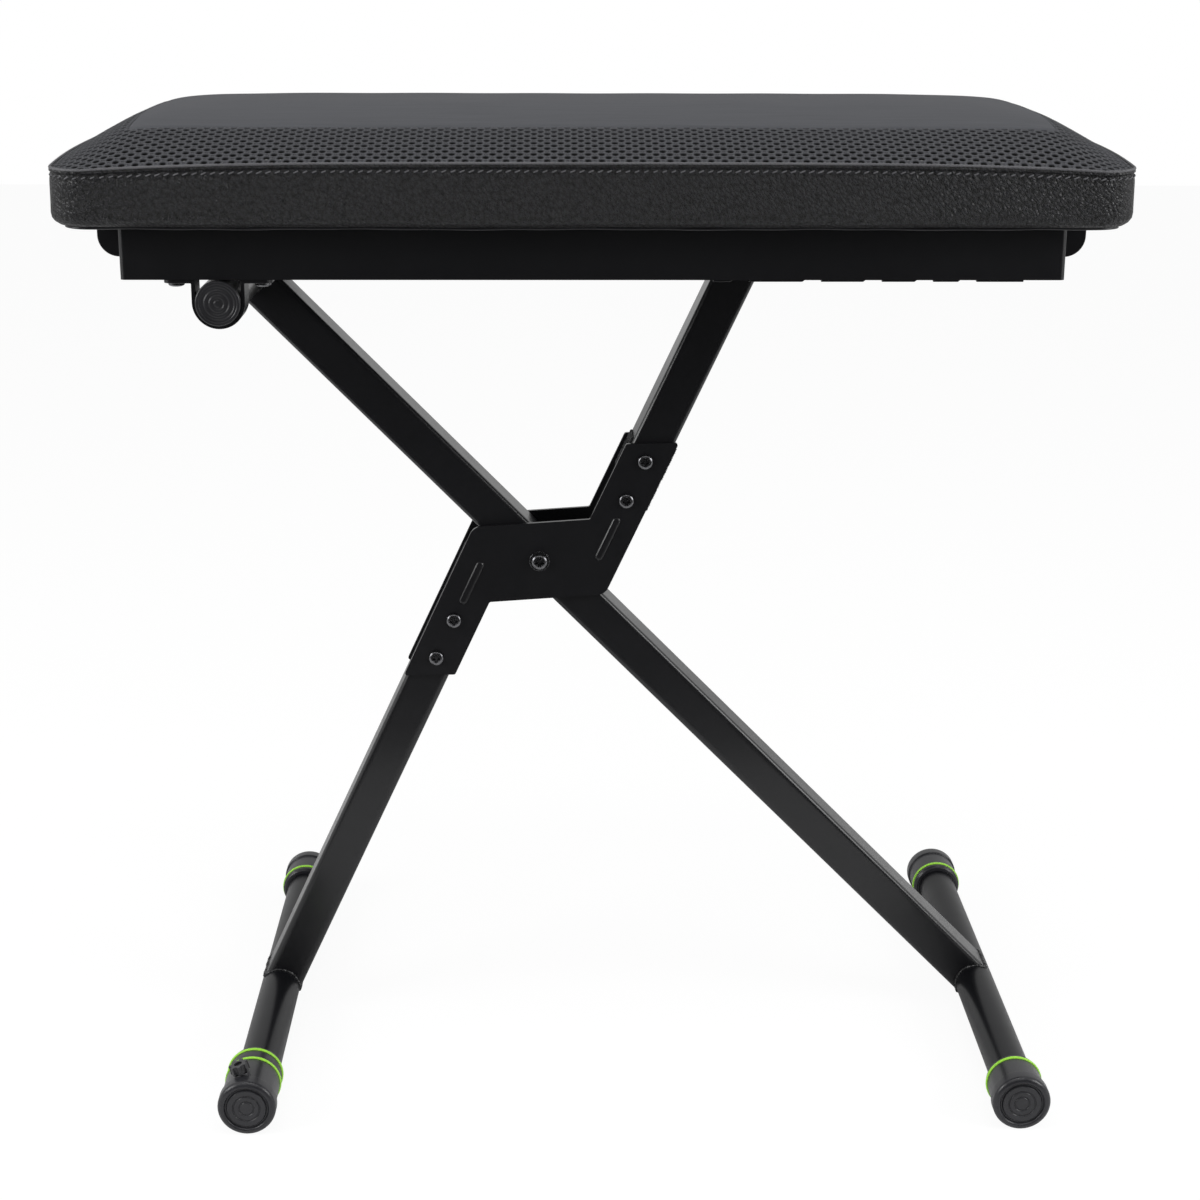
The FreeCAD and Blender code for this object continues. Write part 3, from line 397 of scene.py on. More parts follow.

# %% [markdown]
# ## Leather, mesh and seat cloth
# The seat cover has three cloths. Its side band is grained artificial leather, whose pebbles lean a
# little, so the band carries its own flat map and the pebbles follow it round the corners; its colour
# goes near black where the grain lies low, as painted shade. The border is a spacer mesh; its holes
# are real, and an attribute called hole tells the shader how deep a point lies in one, so that the
# holes can be painted near black as shade. The middle is a smooth dense cloth with faint streaks
# along the seat.

# %% Mix the cover's finishes
def mix_leather():
    """Leaning pebbles from stretched, warped cells with finer creases between them; low grain is painted dark as
    shade.
    """
    finish = Finish("side_leather")
    flat = finish.node("UVMap", {"uv_map": "flat"})
    warp = finish.node("TexNoise", {"noise_dimensions": "2D"},
                       {"Vector": flat, "Scale": 240.0, "Detail": 2.0}, result="Color")
    bent = finish.node("VectorMath", {"operation": "MULTIPLY_ADD"},
                       {0: warp, 1: (0.0016, 0.0016, 0.0), 2: flat})
    leaned = finish.node("Mapping", {"vector_type": "TEXTURE"},
                         {"Vector": bent, "Rotation": (0.0, 0.0, 0.9), "Scale": (1.25, 0.72, 1.0)})
    pebbles = finish.node("TexVoronoi", {"voronoi_dimensions": "2D", "feature": "SMOOTH_F1"},
                          {"Vector": leaned, "Scale": 400.0, "Smoothness": 0.35})
    fine = finish.node("TexVoronoi", {"voronoi_dimensions": "2D", "feature": "DISTANCE_TO_EDGE"},
                       {"Vector": leaned, "Scale": 780.0})
    crease = finish.ramp(fine, [(0.0, 0.0), (0.16, 1.0)])
    height = (1.0 - pebbles) * 0.75 + crease * 0.25
    # Painted shade: where the grain lies low, between the pebbles and in the creases, the base colour goes near
    # black.
    top = finish.ramp(height, [(0.55, 0.0), (0.92, 1.0)])
    tone = finish.blend(top, (0.0010, 0.0010, 0.0013), (0.0190, 0.0193, 0.0228))
    return finish.surface({
        "Base Color": tone,
        "Roughness": 0.42 - top * 0.15,
        "Specular IOR Level": 0.40,
        "Normal": finish.bump(height, 0.0009, 1.0),
    })


def mix_mesh():
    """Knitted threads in their own grey on top, with painted shade near black down in the holes."""
    finish = Finish("border_mesh")
    hole = finish.node("Attribute", {"attribute_name": "hole"}, result="Fac")
    fibre = finish.noise(2600.0, 3.0, finish.stretched((1.0, 0.45, 1.0)))
    thread = finish.blend(fibre, (0.024, 0.0245, 0.028), (0.132, 0.135, 0.147))
    # Painted shade: the deeper a point lies in a hole, the nearer the colour comes to near black.
    depth = finish.ramp(hole, [(0.05, 0.0), (0.55, 1.0)])
    return finish.surface({
        "Base Color": finish.blend(depth, thread, (0.0012, 0.0012, 0.0015)),
        "Roughness": 0.66 + fibre * 0.2,
        "Sheen Weight": 0.03,
        "Specular IOR Level": 0.2,
        "Normal": finish.bump(fibre, 0.00022, 0.8),
    })


def mix_panel():
    """Dense smooth cloth: two crossing thread waves and long faint streaks."""
    finish = Finish("panel_fabric")
    streak = finish.noise(420.0, 3.0, finish.stretched((0.05, 1.0, 1.0)))
    slub = finish.noise(1900.0, 2.0, finish.stretched((0.3, 1.0, 1.0)))
    weave = finish.waves("X", 620.0, 0.6) * 0.5 + finish.waves("Y", 620.0, 0.6) * 0.5
    tone = streak * 0.6 + slub * 0.4
    return finish.surface({
        "Base Color": finish.blend(tone, (0.064, 0.066, 0.073), (0.112, 0.115, 0.126)),
        "Roughness": 0.80 + slub * 0.12,
        "Sheen Weight": 0.04,
        "Specular IOR Level": 0.12,
        "Normal": finish.bump(weave * 0.6 + slub * 0.4, 0.00009, 0.6),
    })


def mix_thread():
    """Sewing thread: thin strands twisted round each other, with painted shade in the grooves between them."""
    finish = Finish("sewing_thread")
    strands = finish.waves("DIAGONAL", 900.0, 1.0)
    return finish.surface({
        # Painted shade: the colour follows the same bands as the bump, darker in the grooves between the strands.
        "Base Color": finish.blend(strands, (0.05, 0.05, 0.055), (0.16, 0.16, 0.17)),
        "Roughness": 0.5 + strands * 0.1,
        "Normal": finish.bump(strands, 0.00008, 0.6),
    })


side_leather = mix_leather()
border_mesh = mix_mesh()
panel_fabric = mix_panel()
sewing_thread = mix_thread()
finishes = dict(
    steel_black=steel_black, steel_grey=steel_grey, fastener=fastener, zinc=zinc, brass=brass,
    cap_rubber=cap_rubber, green_rubber=green_rubber, plug_plastic=plug_plastic, nylon=nylon,
    plywood=plywood, foam=foam, dust_cloth=dust_cloth, hook_strap=hook_strap,
    side_leather=side_leather, border_mesh=border_mesh, panel_fabric=panel_fabric)
print("finishes ready:", len(finishes))

# %% [markdown]
# ## Every carried-over node gets its finish
# Many small steel pieces are right as they stand: they keep their own mesh and only change material.
# The record says which material slot each node takes, so a loop can paint them all. Pieces that we
# make later take their finish in the same way.

# %% Paint the nodes
for node, node_object in frame["nodes"].items():
    node_object.data.materials.clear()
    node_object.data.materials.append(finishes[slot_of[node]])
print("painted nodes:", len(frame["nodes"]))

# %% [markdown]
# ## Meshes from arrays
# A surface here is a grid of points worked out in one go. Two neighbours along each way of the grid
# make a quad. A new piece is one or more such skins in one mesh: points that meet are merged, closed
# skins get outward faces, and sharp edges stay sharp by their angle. A small form that is repeated is
# one list of faces, copied to every set of points.

# %% Turn arrays into pieces
MERGE = 2e-6
SHARP = math.radians(38)


def grid_faces(rows, columns, rows_close=False, columns_close=False):
    """Quads (i, j), (i+1, j), (i+1, j+1), (i, j+1) of a grid, closed on itself where asked."""
    i, j = np.meshgrid(np.arange(rows if rows_close else rows - 1),
                       np.arange(columns if columns_close else columns - 1), indexing="ij")
    i_next = (i + 1) % rows
    j_next = (j + 1) % columns
    corners = [i * columns + j, i_next * columns + j, i_next * columns + j_next, i * columns + j_next]
    return np.stack(corners, axis=-1).reshape(-1, 4)


def repeat_faces(faces, size, count):
    """The same faces for each of many copies of a form that has this many points."""
    return (size * np.arange(count)[:, None, None] + faces).reshape(-1, faces.shape[1])


def shared_skins(points, sides, ends):
    """Two skins on the same points, whose faces have different corner counts."""
    return [(points, sides), (np.empty((0, 3)), ends - len(points))]


def slab_skins(upper, lower, steps):
    """An upper grid, a lower grid that faces down, and a wall of so many rows between their edges."""
    rows, columns = upper.shape[:2]
    index = np.arange(rows * columns).reshape(rows, columns)
    edge = np.concatenate([index[0], index[1:, -1], index[-1, -2::-1], index[-2:0:-1, 0]])
    upper, lower = upper.reshape(-1, 3), lower.reshape(-1, 3)
    k = np.linspace(0, 1, steps)[:, None, None]
    wall = upper[edge] * (1 - k) + lower[edge] * k
    squares = grid_faces(rows, columns)
    return [(upper, squares), (lower, squares[:, ::-1]),
            (wall.reshape(-1, 3), grid_faces(steps, len(edge), False, True))]


def write_mesh(name, skins):
    """One mesh from (points in millimetres, faces) pairs, whose faces may have any corner count."""
    mesh = bpy.data.meshes.new(name)
    points = np.concatenate([skin[0] for skin in skins])
    starts = np.cumsum([0] + [len(skin[0]) for skin in skins])
    corners = np.concatenate([(skin[1] + start).ravel() for skin, start in zip(skins, starts)])
    sizes = np.concatenate([np.full(len(skin[1]), skin[1].shape[1]) for skin in skins])
    mesh.vertices.add(len(points))
    mesh.vertices.foreach_set("co", (points * MM).astype(np.float32).ravel())
    mesh.loops.add(len(corners))
    mesh.loops.foreach_set("vertex_index", corners.astype(np.int32))
    mesh.polygons.add(len(sizes))
    mesh.polygons.foreach_set("loop_start", (np.cumsum(sizes) - sizes).astype(np.int32))
    mesh.update(calc_edges=True)
    return mesh


def merged(mesh):
    """A mesh opened for work, with points that meet made one."""
    work = bmesh.new()
    work.from_mesh(mesh)
    bmesh.ops.remove_doubles(work, verts=work.verts, dist=MERGE)
    return work


def tidy_mesh(mesh, closed):
    """Merge points that meet, drop faces with no area, and turn closed skins outwards."""
    work = merged(mesh)
    bmesh.ops.dissolve_degenerate(work, edges=work.edges, dist=MERGE / 4)
    if closed:
        bmesh.ops.recalc_face_normals(work, faces=work.faces)
    work.to_mesh(mesh)
    work.free()
    mesh.shade_smooth()
    mesh.set_sharp_from_angle(angle=SHARP)


def add_piece(name, mesh, like, finish=None, replaced=()):
    """An object that rides on the body of a node, takes its slot and stands for the nodes given."""
    piece = new_object(name, mesh)
    mesh.materials.append(finish or finishes[slot_of[like]])
    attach(piece, body_of[like])
    if replaced:
        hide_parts(*replaced)
    return piece


def dress(name, skins, like, finish=None, replaced=None, closed=True):
    """A new piece from skins; unless told otherwise it stands for the node that it is like."""
    mesh = write_mesh(name, skins)
    tidy_mesh(mesh, closed)
    piece = add_piece(name, mesh, like, finish, (like,) if replaced is None else replaced)
    print(name, len(mesh.polygons), "faces")
    return piece


# %% [markdown]
# ## Two ways to draw a form
# Bars, caps, plugs and screws are turned on a lathe: a profile of radius and height goes round an
# axis. Tubes, welds and seams are a section carried along a path. Both start from outlines with
# rounded corners, so one function turns sharp corners into arcs.

# %% Round, turn and sweep
def round_off(corners, steps=5, closed=True):
    """Replace each corner (x, y, r) by an arc of radius r that touches both of its sides.

    With half the corner's angle h, the arc's middle lies r / sin h up the line between the sides, and
    the arc starts and ends r / tan h from the corner."""
    points = []
    for i, (x, y, radius) in enumerate(corners):
        here = np.array([x, y], float)
        if radius == 0 or (not closed and i in (0, len(corners) - 1)):
            points.append(here[None])
            continue
        back = unit(np.array(corners[i - 1][:2]) - here)
        ahead = unit(np.array(corners[(i + 1) % len(corners)][:2]) - here)
        half = math.acos(np.clip(back @ ahead, -1, 1)) / 2
        centre = here + unit(back + ahead) * radius / math.sin(half)
        first = here + back * radius / math.tan(half) - centre
        last = here + ahead * radius / math.tan(half) - centre
        turn = math.pi - 2 * half
        k = np.linspace(0, 1, steps + 1)[:, None]
        points.append(centre + (np.sin((1 - k) * turn) * first + np.sin(k * turn) * last) / math.sin(turn))
    return np.concatenate(points)


def reach_along(points):
    """Distance travelled at each point of a line."""
    return np.concatenate([[0], np.cumsum(np.linalg.norm(np.diff(points, axis=0), axis=1))])


def along_line(marks, reach, line):
    """Points of a line at these distances along it."""
    return np.column_stack([np.interp(marks, reach, line[:, axis]) for axis in range(line.shape[1])])


def fill_in(points, step):
    """The same closed line with more points, so that none are further apart than a step."""
    line = np.vstack([points, points[:1]])
    reach = reach_along(line)
    marks = np.unique(np.round(np.concatenate([reach, np.arange(0, reach[-1], step)]), 2))[:-1]
    return along_line(marks, reach, line)


def box_corners(x, y, radius):
    """Corners of a rectangle from its half sizes, each with its radius."""
    return [(-x, -y, radius), (x, -y, radius), (x, y, radius), (-x, y, radius)]


def circle(count):
    """Points (cos t, sin t) at equal steps round a circle."""
    turn = 2 * np.pi * np.arange(count) / count
    return np.stack([np.cos(turn), np.sin(turn)], axis=-1)


def lathe(radius, height, origin, direction, count=96, ring=False):
    """Turn a profile: origin + height * direction + radius * (cos t, sin t) round the axis.

    Radius and height hold one value for each row, or one for each row and turn. A ring's profile
    closes on itself, and any other starts and ends on the axis."""
    first = unit(np.cross(direction, X if abs(direction[0]) < 0.9 else Z))
    round_it = circle(count) @ np.stack([first, np.cross(direction, first)])
    radius = np.broadcast_to(np.asarray(radius, float).reshape(len(radius), -1), (len(radius), count))
    height = np.broadcast_to(np.asarray(height, float).reshape(len(height), -1), (len(height), count))
    points = origin + height[..., None] * direction + radius[..., None] * round_it
    return points.reshape(-1, 3), grid_faces(len(radius), count, ring, True)


def carry(section, path, side, up):
    """Carry a section (u, v) along one path or many: path + u * side + v * up."""
    path, side, up = np.broadcast_arrays(path, side, up)
    return path[..., None, :] + section[..., :1] * side[..., None, :] + section[..., 1:] * up[..., None, :]


def sweep(section, path, side, up):
    """The skin of a section carried once round a closed path."""
    points = carry(section, path, side, up)
    return points.reshape(-1, 3), grid_faces(len(path), points.shape[1], True, True)


# %% [markdown]
# ## The shape of the pad
# Seen from above the pad is a rectangle with round corners. Its top is a crown: level over the middle
# and falling ever faster to the seam. Both are formulas, so every later piece, from foam to stitch,
# can ask for the same surface.

# %% Describe the pad
PAD_HALF = extent("cover_side_band")[:2] / 2
PAD_Z = span("cover_side_band")[0][2]
CORNER_R = 22.0
BAND_HEIGHT = 35.0
SEAM_Z = PAD_Z + BAND_HEIGHT
BOTTOM_R = 8.0
COVER_T = 1.2
CORNER_DROP = 5.5
SWELL_CAP = 3.0
CROWN = span("cover_top_panel")[1][2] - SEAM_Z - 0.7 * SWELL_CAP
SHOULDER = 40.0
PANEL_HALF = extent("cover_top_panel")[:2] / 2
PANEL_R = 7.0


def crown(x, y):
    """CROWN * slope(x) * (1 - |y/b|^3.6), less a drop that grows towards the four corners.

    The slope t / (1 + t^8)^(1/8) rises evenly over the shoulder at each end and then levels off, and
    t is the distance from the end in shoulders."""
    across_x = np.minimum(np.abs(x) / PAD_HALF[0], 1)
    across_y = np.minimum(np.abs(y) / PAD_HALF[1], 1)
    t = (1 - across_x) * PAD_HALF[0] / SHOULDER
    rise = CROWN * t / (1 + t ** 8) ** 0.125 * (1 - across_y ** 3.6)
    return rise - CORNER_DROP * across_x ** 4 * across_y ** 3


def round_box(x, y, half, radius):
    """Distance to a rectangle with round corners, below 0 inside, and the direction straight out."""
    point = np.stack([x, y], axis=-1)
    past = np.abs(point) - (half - radius)
    corner = np.maximum(past, 0)
    length = np.linalg.norm(corner, axis=-1)
    distance = length + np.minimum(past.max(axis=-1), 0) - radius
    axis = (past == past.max(axis=-1, keepdims=True)).astype(float)
    out = np.where(length[..., None] > 0, corner / np.maximum(length, 1e-9)[..., None], axis)
    return distance, out * np.where(point < 0, -1.0, 1.0)


def slid_inside(x, y, half, radius):
    """Places beyond a rectangle with round corners slid to its edge, and how far inside each lies."""
    distance, out = round_box(x, y, half, radius)
    beyond = np.maximum(distance, 0)[..., None] * out
    return x - beyond[..., 0], y - beyond[..., 1], np.maximum(-distance, 0)


def pad_distance(points):
    """Distance to the pad's outline at each point, below 0 inside."""
    return round_box(points[:, 0], points[:, 1], PAD_HALF, CORNER_R)[0]


def pad_outline(inset, count):
    """Points round the pad at equal steps, with the direction straight out at each."""
    line = round_off(box_corners(*(PAD_HALF - inset), CORNER_R - inset), 64)
    line = np.vstack([line, line[:1]])
    reach = reach_along(line)
    points = along_line(np.linspace(0, reach[-1], count, endpoint=False), reach, line)
    ahead = unit(np.roll(points, -1, axis=0) - np.roll(points, 1, axis=0))
    return points, np.column_stack([ahead[:, 1], -ahead[:, 0]]), reach[-1]


def flat_to_space(vectors):
    """Level vectors (x, y) as (x, y, 0)."""
    return np.column_stack([vectors, np.zeros(len(vectors))])


PERIMETER = pad_outline(0, 400)[2]
print("pad", PAD_HALF * 2, "seam at", round(SEAM_Z, 1), "round it", round(PERIMETER))

# %% [markdown]
# ## Foam that swells
# A foam block under a tight cover bulges between its seams. We build the block a little small, remesh
# it into even squares, and blow it up as cloth under pressure, with the seam and the underside
# pinned. How far each point moves is capped, so the block stays within its seams. The swelling is
# then averaged and handed to the cover's own formulas, because a cover that is sampled directly from
# a remeshed block would show its squares.

# %% Blow up the foam
VOXEL = 0.006
FOAM_GAP = 0.4
FRAMES = 20
PRESSURE = 4.0
HELD_IN = 9.0
HELD_ROUND = 5.0
HELD_UP = 7.0


def block_skins():
    """The foam block: a crowned top, a flat underside, and a wall that joins their edges."""
    inset = COVER_T + FOAM_GAP
    half = PAD_HALF - inset
    x, y = np.meshgrid(np.linspace(-half[0], half[0], 121), np.linspace(-half[1], half[1], 61),
                       indexing="ij")
    x, y, _ = slid_inside(x, y, half, CORNER_R - inset)
    top = np.stack([x, y, SEAM_Z + crown(x, y) - inset], axis=-1)
    under = np.stack([x, y, np.full_like(x, PAD_Z + inset)], axis=-1)
    return slab_skins(top, under, 9)


def evaluated_copy(source):
    """A plain mesh of an object with its modifiers worked in."""
    depsgraph = bpy.context.evaluated_depsgraph_get()
    return bpy.data.meshes.new_from_object(source.evaluated_get(depsgraph))


def vertex_array(mesh):
    """A mesh's points as an array, in millimetres."""
    points = np.empty(len(mesh.vertices) * 3, np.float32)
    mesh.vertices.foreach_get("co", points)
    return points.reshape(-1, 3).astype(float) / MM


def remeshed_block():
    """The foam block as one even skin."""
    mesh = write_mesh("seat_pad_rough", block_skins())
    tidy_mesh(mesh, True)
    rough = new_object("seat_pad_rough", mesh)
    modifier = rough.modifiers.new("even", "REMESH")
    modifier.mode = "VOXEL"
    modifier.voxel_size = VOXEL
    even = evaluated_copy(rough)
    bpy.data.objects.remove(rough)
    return even


def add_cloth(soft, rest):
    """Cloth under pressure, held along the seam and the underside."""
    at_seam = (pad_distance(rest) > -HELD_IN) & (np.abs(rest[:, 2] - SEAM_Z) < HELD_ROUND)
    held = np.flatnonzero(at_seam | (rest[:, 2] < PAD_Z + HELD_UP))
    group = soft.vertex_groups.new(name="held")
    group.add(held.tolist(), 1.0, "REPLACE")
    cloth = soft.modifiers.new("swell", "CLOTH")
    cloth.settings.use_pressure = True
    cloth.settings.uniform_pressure_force = PRESSURE
    cloth.settings.effector_weights.gravity = 0.0
    cloth.settings.vertex_group_mass = "held"
    cloth.point_cache.frame_start = 1
    cloth.point_cache.frame_end = FRAMES


def swell(mesh):
    """Step the cloth through its frames and give each point's capped move."""
    rest = vertex_array(mesh)
    soft = new_object("seat_pad_soft", mesh)
    add_cloth(soft, rest)
    for step in range(1, FRAMES + 1):
        bpy.context.scene.frame_set(step)
    moved = vertex_array(evaluated_copy(soft)) - rest
    bpy.context.scene.frame_set(1)
    bpy.data.objects.remove(soft)
    length = np.linalg.norm(moved, axis=1, keepdims=True)
    return rest, moved * np.minimum(1, SWELL_CAP / np.maximum(length, 1e-9))


pad_mesh = remeshed_block()
pad_rest, pad_move = swell(pad_mesh)
pad_mesh.vertices.foreach_set("co", ((pad_rest + pad_move) * MM).astype(np.float32).ravel())
pad_mesh.update()
pad_mesh.shade_smooth()
pad_mesh.materials.clear()
seat_pad = add_piece("seat_pad", pad_mesh, "seat_foam", replaced=("seat_foam",))
print("foam points", len(pad_rest), "largest move", round(float(np.linalg.norm(pad_move, axis=1).max()), 2))

# %% [markdown]
# ## Averaging the swelling
# Each point of the cover asks how far the foam near it moved. Near means a bell curve of about 15 mm,
# so the answer is smooth. The points are first collected into squares, which keeps the
# sum small.

# %% Average the foam's moves
TOP_NEAR = 14.0
SIDE_NEAR = 16.0


def collected(first, second, values, steps):
    """Mean of the values in each square of a grid, with the squares' middles and how many fell in."""
    edges = [np.linspace(a.min(), a.max(), n + 1) for a, n in zip((first, second), steps)]
    total = np.histogram2d(first, second, edges, weights=values)[0]
    counts = np.histogram2d(first, second, edges)[0]
    middles = [(e[1:] + e[:-1]) / 2 for e in edges]
    return middles, total / np.maximum(counts, 1), counts > 0


def near_mean(grid, first, second, width):
    """Bell-curve mean of the collected values round each asked point."""
    (firsts, seconds), means, filled = grid
    a = np.exp(-((first[:, None] - firsts) / width) ** 2)
    b = np.exp(-((second[:, None] - seconds) / width) ** 2)
    weight = np.einsum("ni,ij,nj->n", a, filled.astype(float), b)
    return np.einsum("ni,ij,nj->n", a, means * filled, b) / np.maximum(weight, 1e-12)


pad_inside = -pad_distance(pad_rest)
on_top = (pad_rest[:, 2] > SEAM_Z - 2) & (pad_inside > 4)
top_grid = collected(pad_rest[on_top, 0], pad_rest[on_top, 1], pad_move[on_top, 2], (60, 30))
outline_points, outline_out, _ = pad_outline(0, 350)
on_side = (pad_inside < 6) & (pad_rest[:, 2] < SEAM_Z)
side_rest = pad_rest[on_side]
nearest = ((side_rest[:, None, :2] - outline_points) ** 2).sum(-1).argmin(1)
side_move = (pad_move[on_side, :2] * outline_out[nearest]).sum(1)
side_place = nearest * PERIMETER / len(outline_points)
side_grid = collected(side_place, side_rest[:, 2] - PAD_Z, side_move, (70, 7))


def top_height(x, y):
    """Height of the cover over a place: the crown, and the foam's swelling under it."""
    lift = near_mean(top_grid, x.ravel(), y.ravel(), TOP_NEAR).reshape(x.shape)
    inside = -round_box(x, y, PAD_HALF, CORNER_R)[0]
    return SEAM_Z + crown(x, y) + lift * np.clip(inside / TOP_NEAR, 0, 1)


def side_bulge(place, height):
    """How far the band stands out at a place round the pad and a height above its underside."""
    bulge = near_mean(side_grid, place.ravel(), height.ravel(), SIDE_NEAR).reshape(place.shape)
    return bulge * np.sin(np.pi * np.clip(height / BAND_HEIGHT, 0, 1))


print("mean lift", round(float(pad_move[on_top, 2].mean()), 2),
      "mean bulge", round(float(side_move.mean()), 2))

# %% [markdown]
# ## The smooth panel
# The middle of the seat is one cut of dense cloth, sewn into the border. A grid covers its rectangle,
# points beyond the round corners slide back to the edge, and the last millimetres roll down into the
# seam.

# %% Lay the panel
def ease(value):
    """Smooth step from 0 to 1."""
    k = np.clip(value, 0, 1)
    return k * k * (3 - 2 * k)


def crowded(half, count):
    """Places from -half to half that lie closer together near both ends."""
    k = np.linspace(-1, 1, count)
    return half * np.sign(k) * (1 - (1 - np.abs(k)) ** 1.35)


def lay_panel():
    """z = top height - roll * (1 - ease(inside distance / width)), on a grid with a lower skin."""
    roll, width = 1.0, 1.8
    x, y = np.meshgrid(crowded(PANEL_HALF[0], 221), crowded(PANEL_HALF[1], 101), indexing="ij")
    x, y, inside = slid_inside(x, y, PANEL_HALF, PANEL_R)
    slack = 0.12 * np.sin(x / 31 + 1.3) * np.sin(y / 17 + 0.4) + 0.08 * np.sin(x / 11 - y / 23)
    z = top_height(x, y) + slack - roll * (1 - ease(inside / width))
    upper, lower = np.stack([x, y, z], axis=-1), np.stack([x, y, z - COVER_T], axis=-1)
    return dress("cover_panel_cloth", slab_skins(upper, lower, 2), "cover_top_panel")


lay_panel()

# %% [markdown]
# ## The mesh border
# Spacer mesh is knitted in diamonds with a hole in each. One diamond is eight edge points, eight rim
# points of the hole and eight points on its floor. Shifting that cell over the border gives the whole
# net: neighbours share their edge points, which then merge. Points outside the border slide to its
# edges, and holes close up near the seams, as they do under a needle.

# %% Knit the border
PITCH_X = 7.45
PITCH_Y = 3.25
HOLE = np.array([2.05, 1.75])
HOLE_DEPTH = 1.6
KNOT = 0.42


def cell_middles():
    """Middles of the diamonds: rows PITCH_Y apart, every other row shifted by half a pitch."""
    columns = int(PAD_HALF[0] / PITCH_X) + 2
    rows = int(PAD_HALF[1] / PITCH_Y) + 2
    i, j = np.meshgrid(np.arange(-columns, columns + 1), np.arange(-rows, rows + 1), indexing="ij")
    x = (i + 0.5 * (j % 2)) * PITCH_X
    y = j * PITCH_Y
    return np.stack([x.ravel(), y.ravel()], axis=-1)


def into_border(points):
    """Slide points to the seams where they lie outside the border; also give the distance to a seam."""
    outer, outward = round_box(points[..., 0], points[..., 1], PAD_HALF - 0.4, CORNER_R - 0.4)
    points = points - np.maximum(outer, 0)[..., None] * outward
    inner, inward = round_box(points[..., 0], points[..., 1], PANEL_HALF, PANEL_R)
    points = points - np.minimum(inner, 0)[..., None] * inward
    return points, np.minimum(np.maximum(-outer, 0), np.maximum(inner, 0))


def knit_border():
    """Eight edge, rim and floor points for each cell, lifted onto the pad's crown."""
    middles = cell_middles()
    inner = round_box(middles[:, 0], middles[:, 1], PANEL_HALF, PANEL_R)[0]
    middles = middles[(pad_distance(middles) < PITCH_Y) & (inner > -PITCH_Y)]
    corners = np.array([[1, 0], [0, 1], [-1, 0], [0, -1]])
    diamond = np.stack([corners, (corners + np.roll(corners, -1, axis=0)) / 2], axis=1).reshape(8, 2)
    diamond = diamond * [PITCH_X / 2, PITCH_Y]
    rim = circle(8) * HOLE
    rings = np.stack([diamond, rim, rim * 0.8])
    points, open_space = into_border(middles[:, None, None] + rings[None])
    seam_share = ease(open_space / 4.0)
    knot = np.where(np.arange(8) % 4 == 0, KNOT, np.where(np.arange(8) % 2 == 0, 0.12, -0.04))
    relief = np.stack([knot, np.full(8, -0.10), np.full(8, -HOLE_DEPTH)])
    tuck = 0.9 * np.exp(-(open_space / 0.9) ** 2)
    z = top_height(points[..., 0], points[..., 1]) + relief[None] * seam_share - tuck
    cloth = np.concatenate([points, z[..., None]], axis=-1)
    # How deep each point lies in its hole, which the border's finish turns into painted shade.
    depth = np.broadcast_to(np.array([0.0, 0.12, 1.0])[None, :, None], z.shape) * seam_share
    return cloth, depth


def border_piece():
    """The net as one mesh, with its hole attribute."""
    cloth, depth = knit_border()
    sides = repeat_faces(grid_faces(3, 8, False, True)[:, [0, 3, 2, 1]], 24, len(cloth))
    floors = repeat_faces(16 + np.arange(8)[None], 24, len(cloth))
    mesh = write_mesh("cover_mesh_net", shared_skins(cloth.reshape(-1, 3), sides, floors))
    attribute = mesh.attributes.new("hole", "FLOAT", "POINT")
    attribute.data.foreach_set("value", depth.astype(np.float32).ravel())
    tidy_mesh(mesh, False)
    print("cells", len(cloth), "faces", len(mesh.polygons))
    return add_piece("cover_mesh_net", mesh, "cover_mesh_border", replaced=("cover_mesh_border",))


border_piece()

# %% [markdown]
# ## The leather band
# The band runs once round the pad. Its section starts under the border, swells into the ridge of the
# seam, dips into the groove below it, runs down the side, rounds under and ends at the hem; then it
# comes back inside at its own thickness. Carried round the outline it makes one closed skin. The row
# of stitches pulls it in at every needle hole.

# %% Wrap the band
STITCH_PITCH = 5.0
STITCH_Z = BAND_HEIGHT - 3.6
HEM = 22.0
BAND_COLUMNS = 1050


def band_section():
    """The section as (outwards, above the underside) points, closed, and coarser on its hidden wall."""
    seam = BAND_HEIGHT
    corners = [(-3.2, seam + 0.3, 0.3), (-0.2, seam + 0.5, 0.6), (0.3, seam - 1.2, 0.7),
               (-0.7, seam - 2.0, 0.5), (0.0, seam - 3.2, 0.8), (0.0, 0.0, BOTTOM_R), (-HEM, 0.0, 0),
               (-HEM, COVER_T, 0), (-COVER_T, COVER_T, BOTTOM_R - COVER_T), (-COVER_T, seam - 2.6, 0.3),
               (-3.2, seam - 0.9, 0.3)]
    section = fill_in(round_off(corners, 4), 2.0)
    hidden = (np.abs(section[:, 0] + COVER_T) < 0.01) & (np.arange(len(section)) % 4 > 0)
    return section[~hidden]


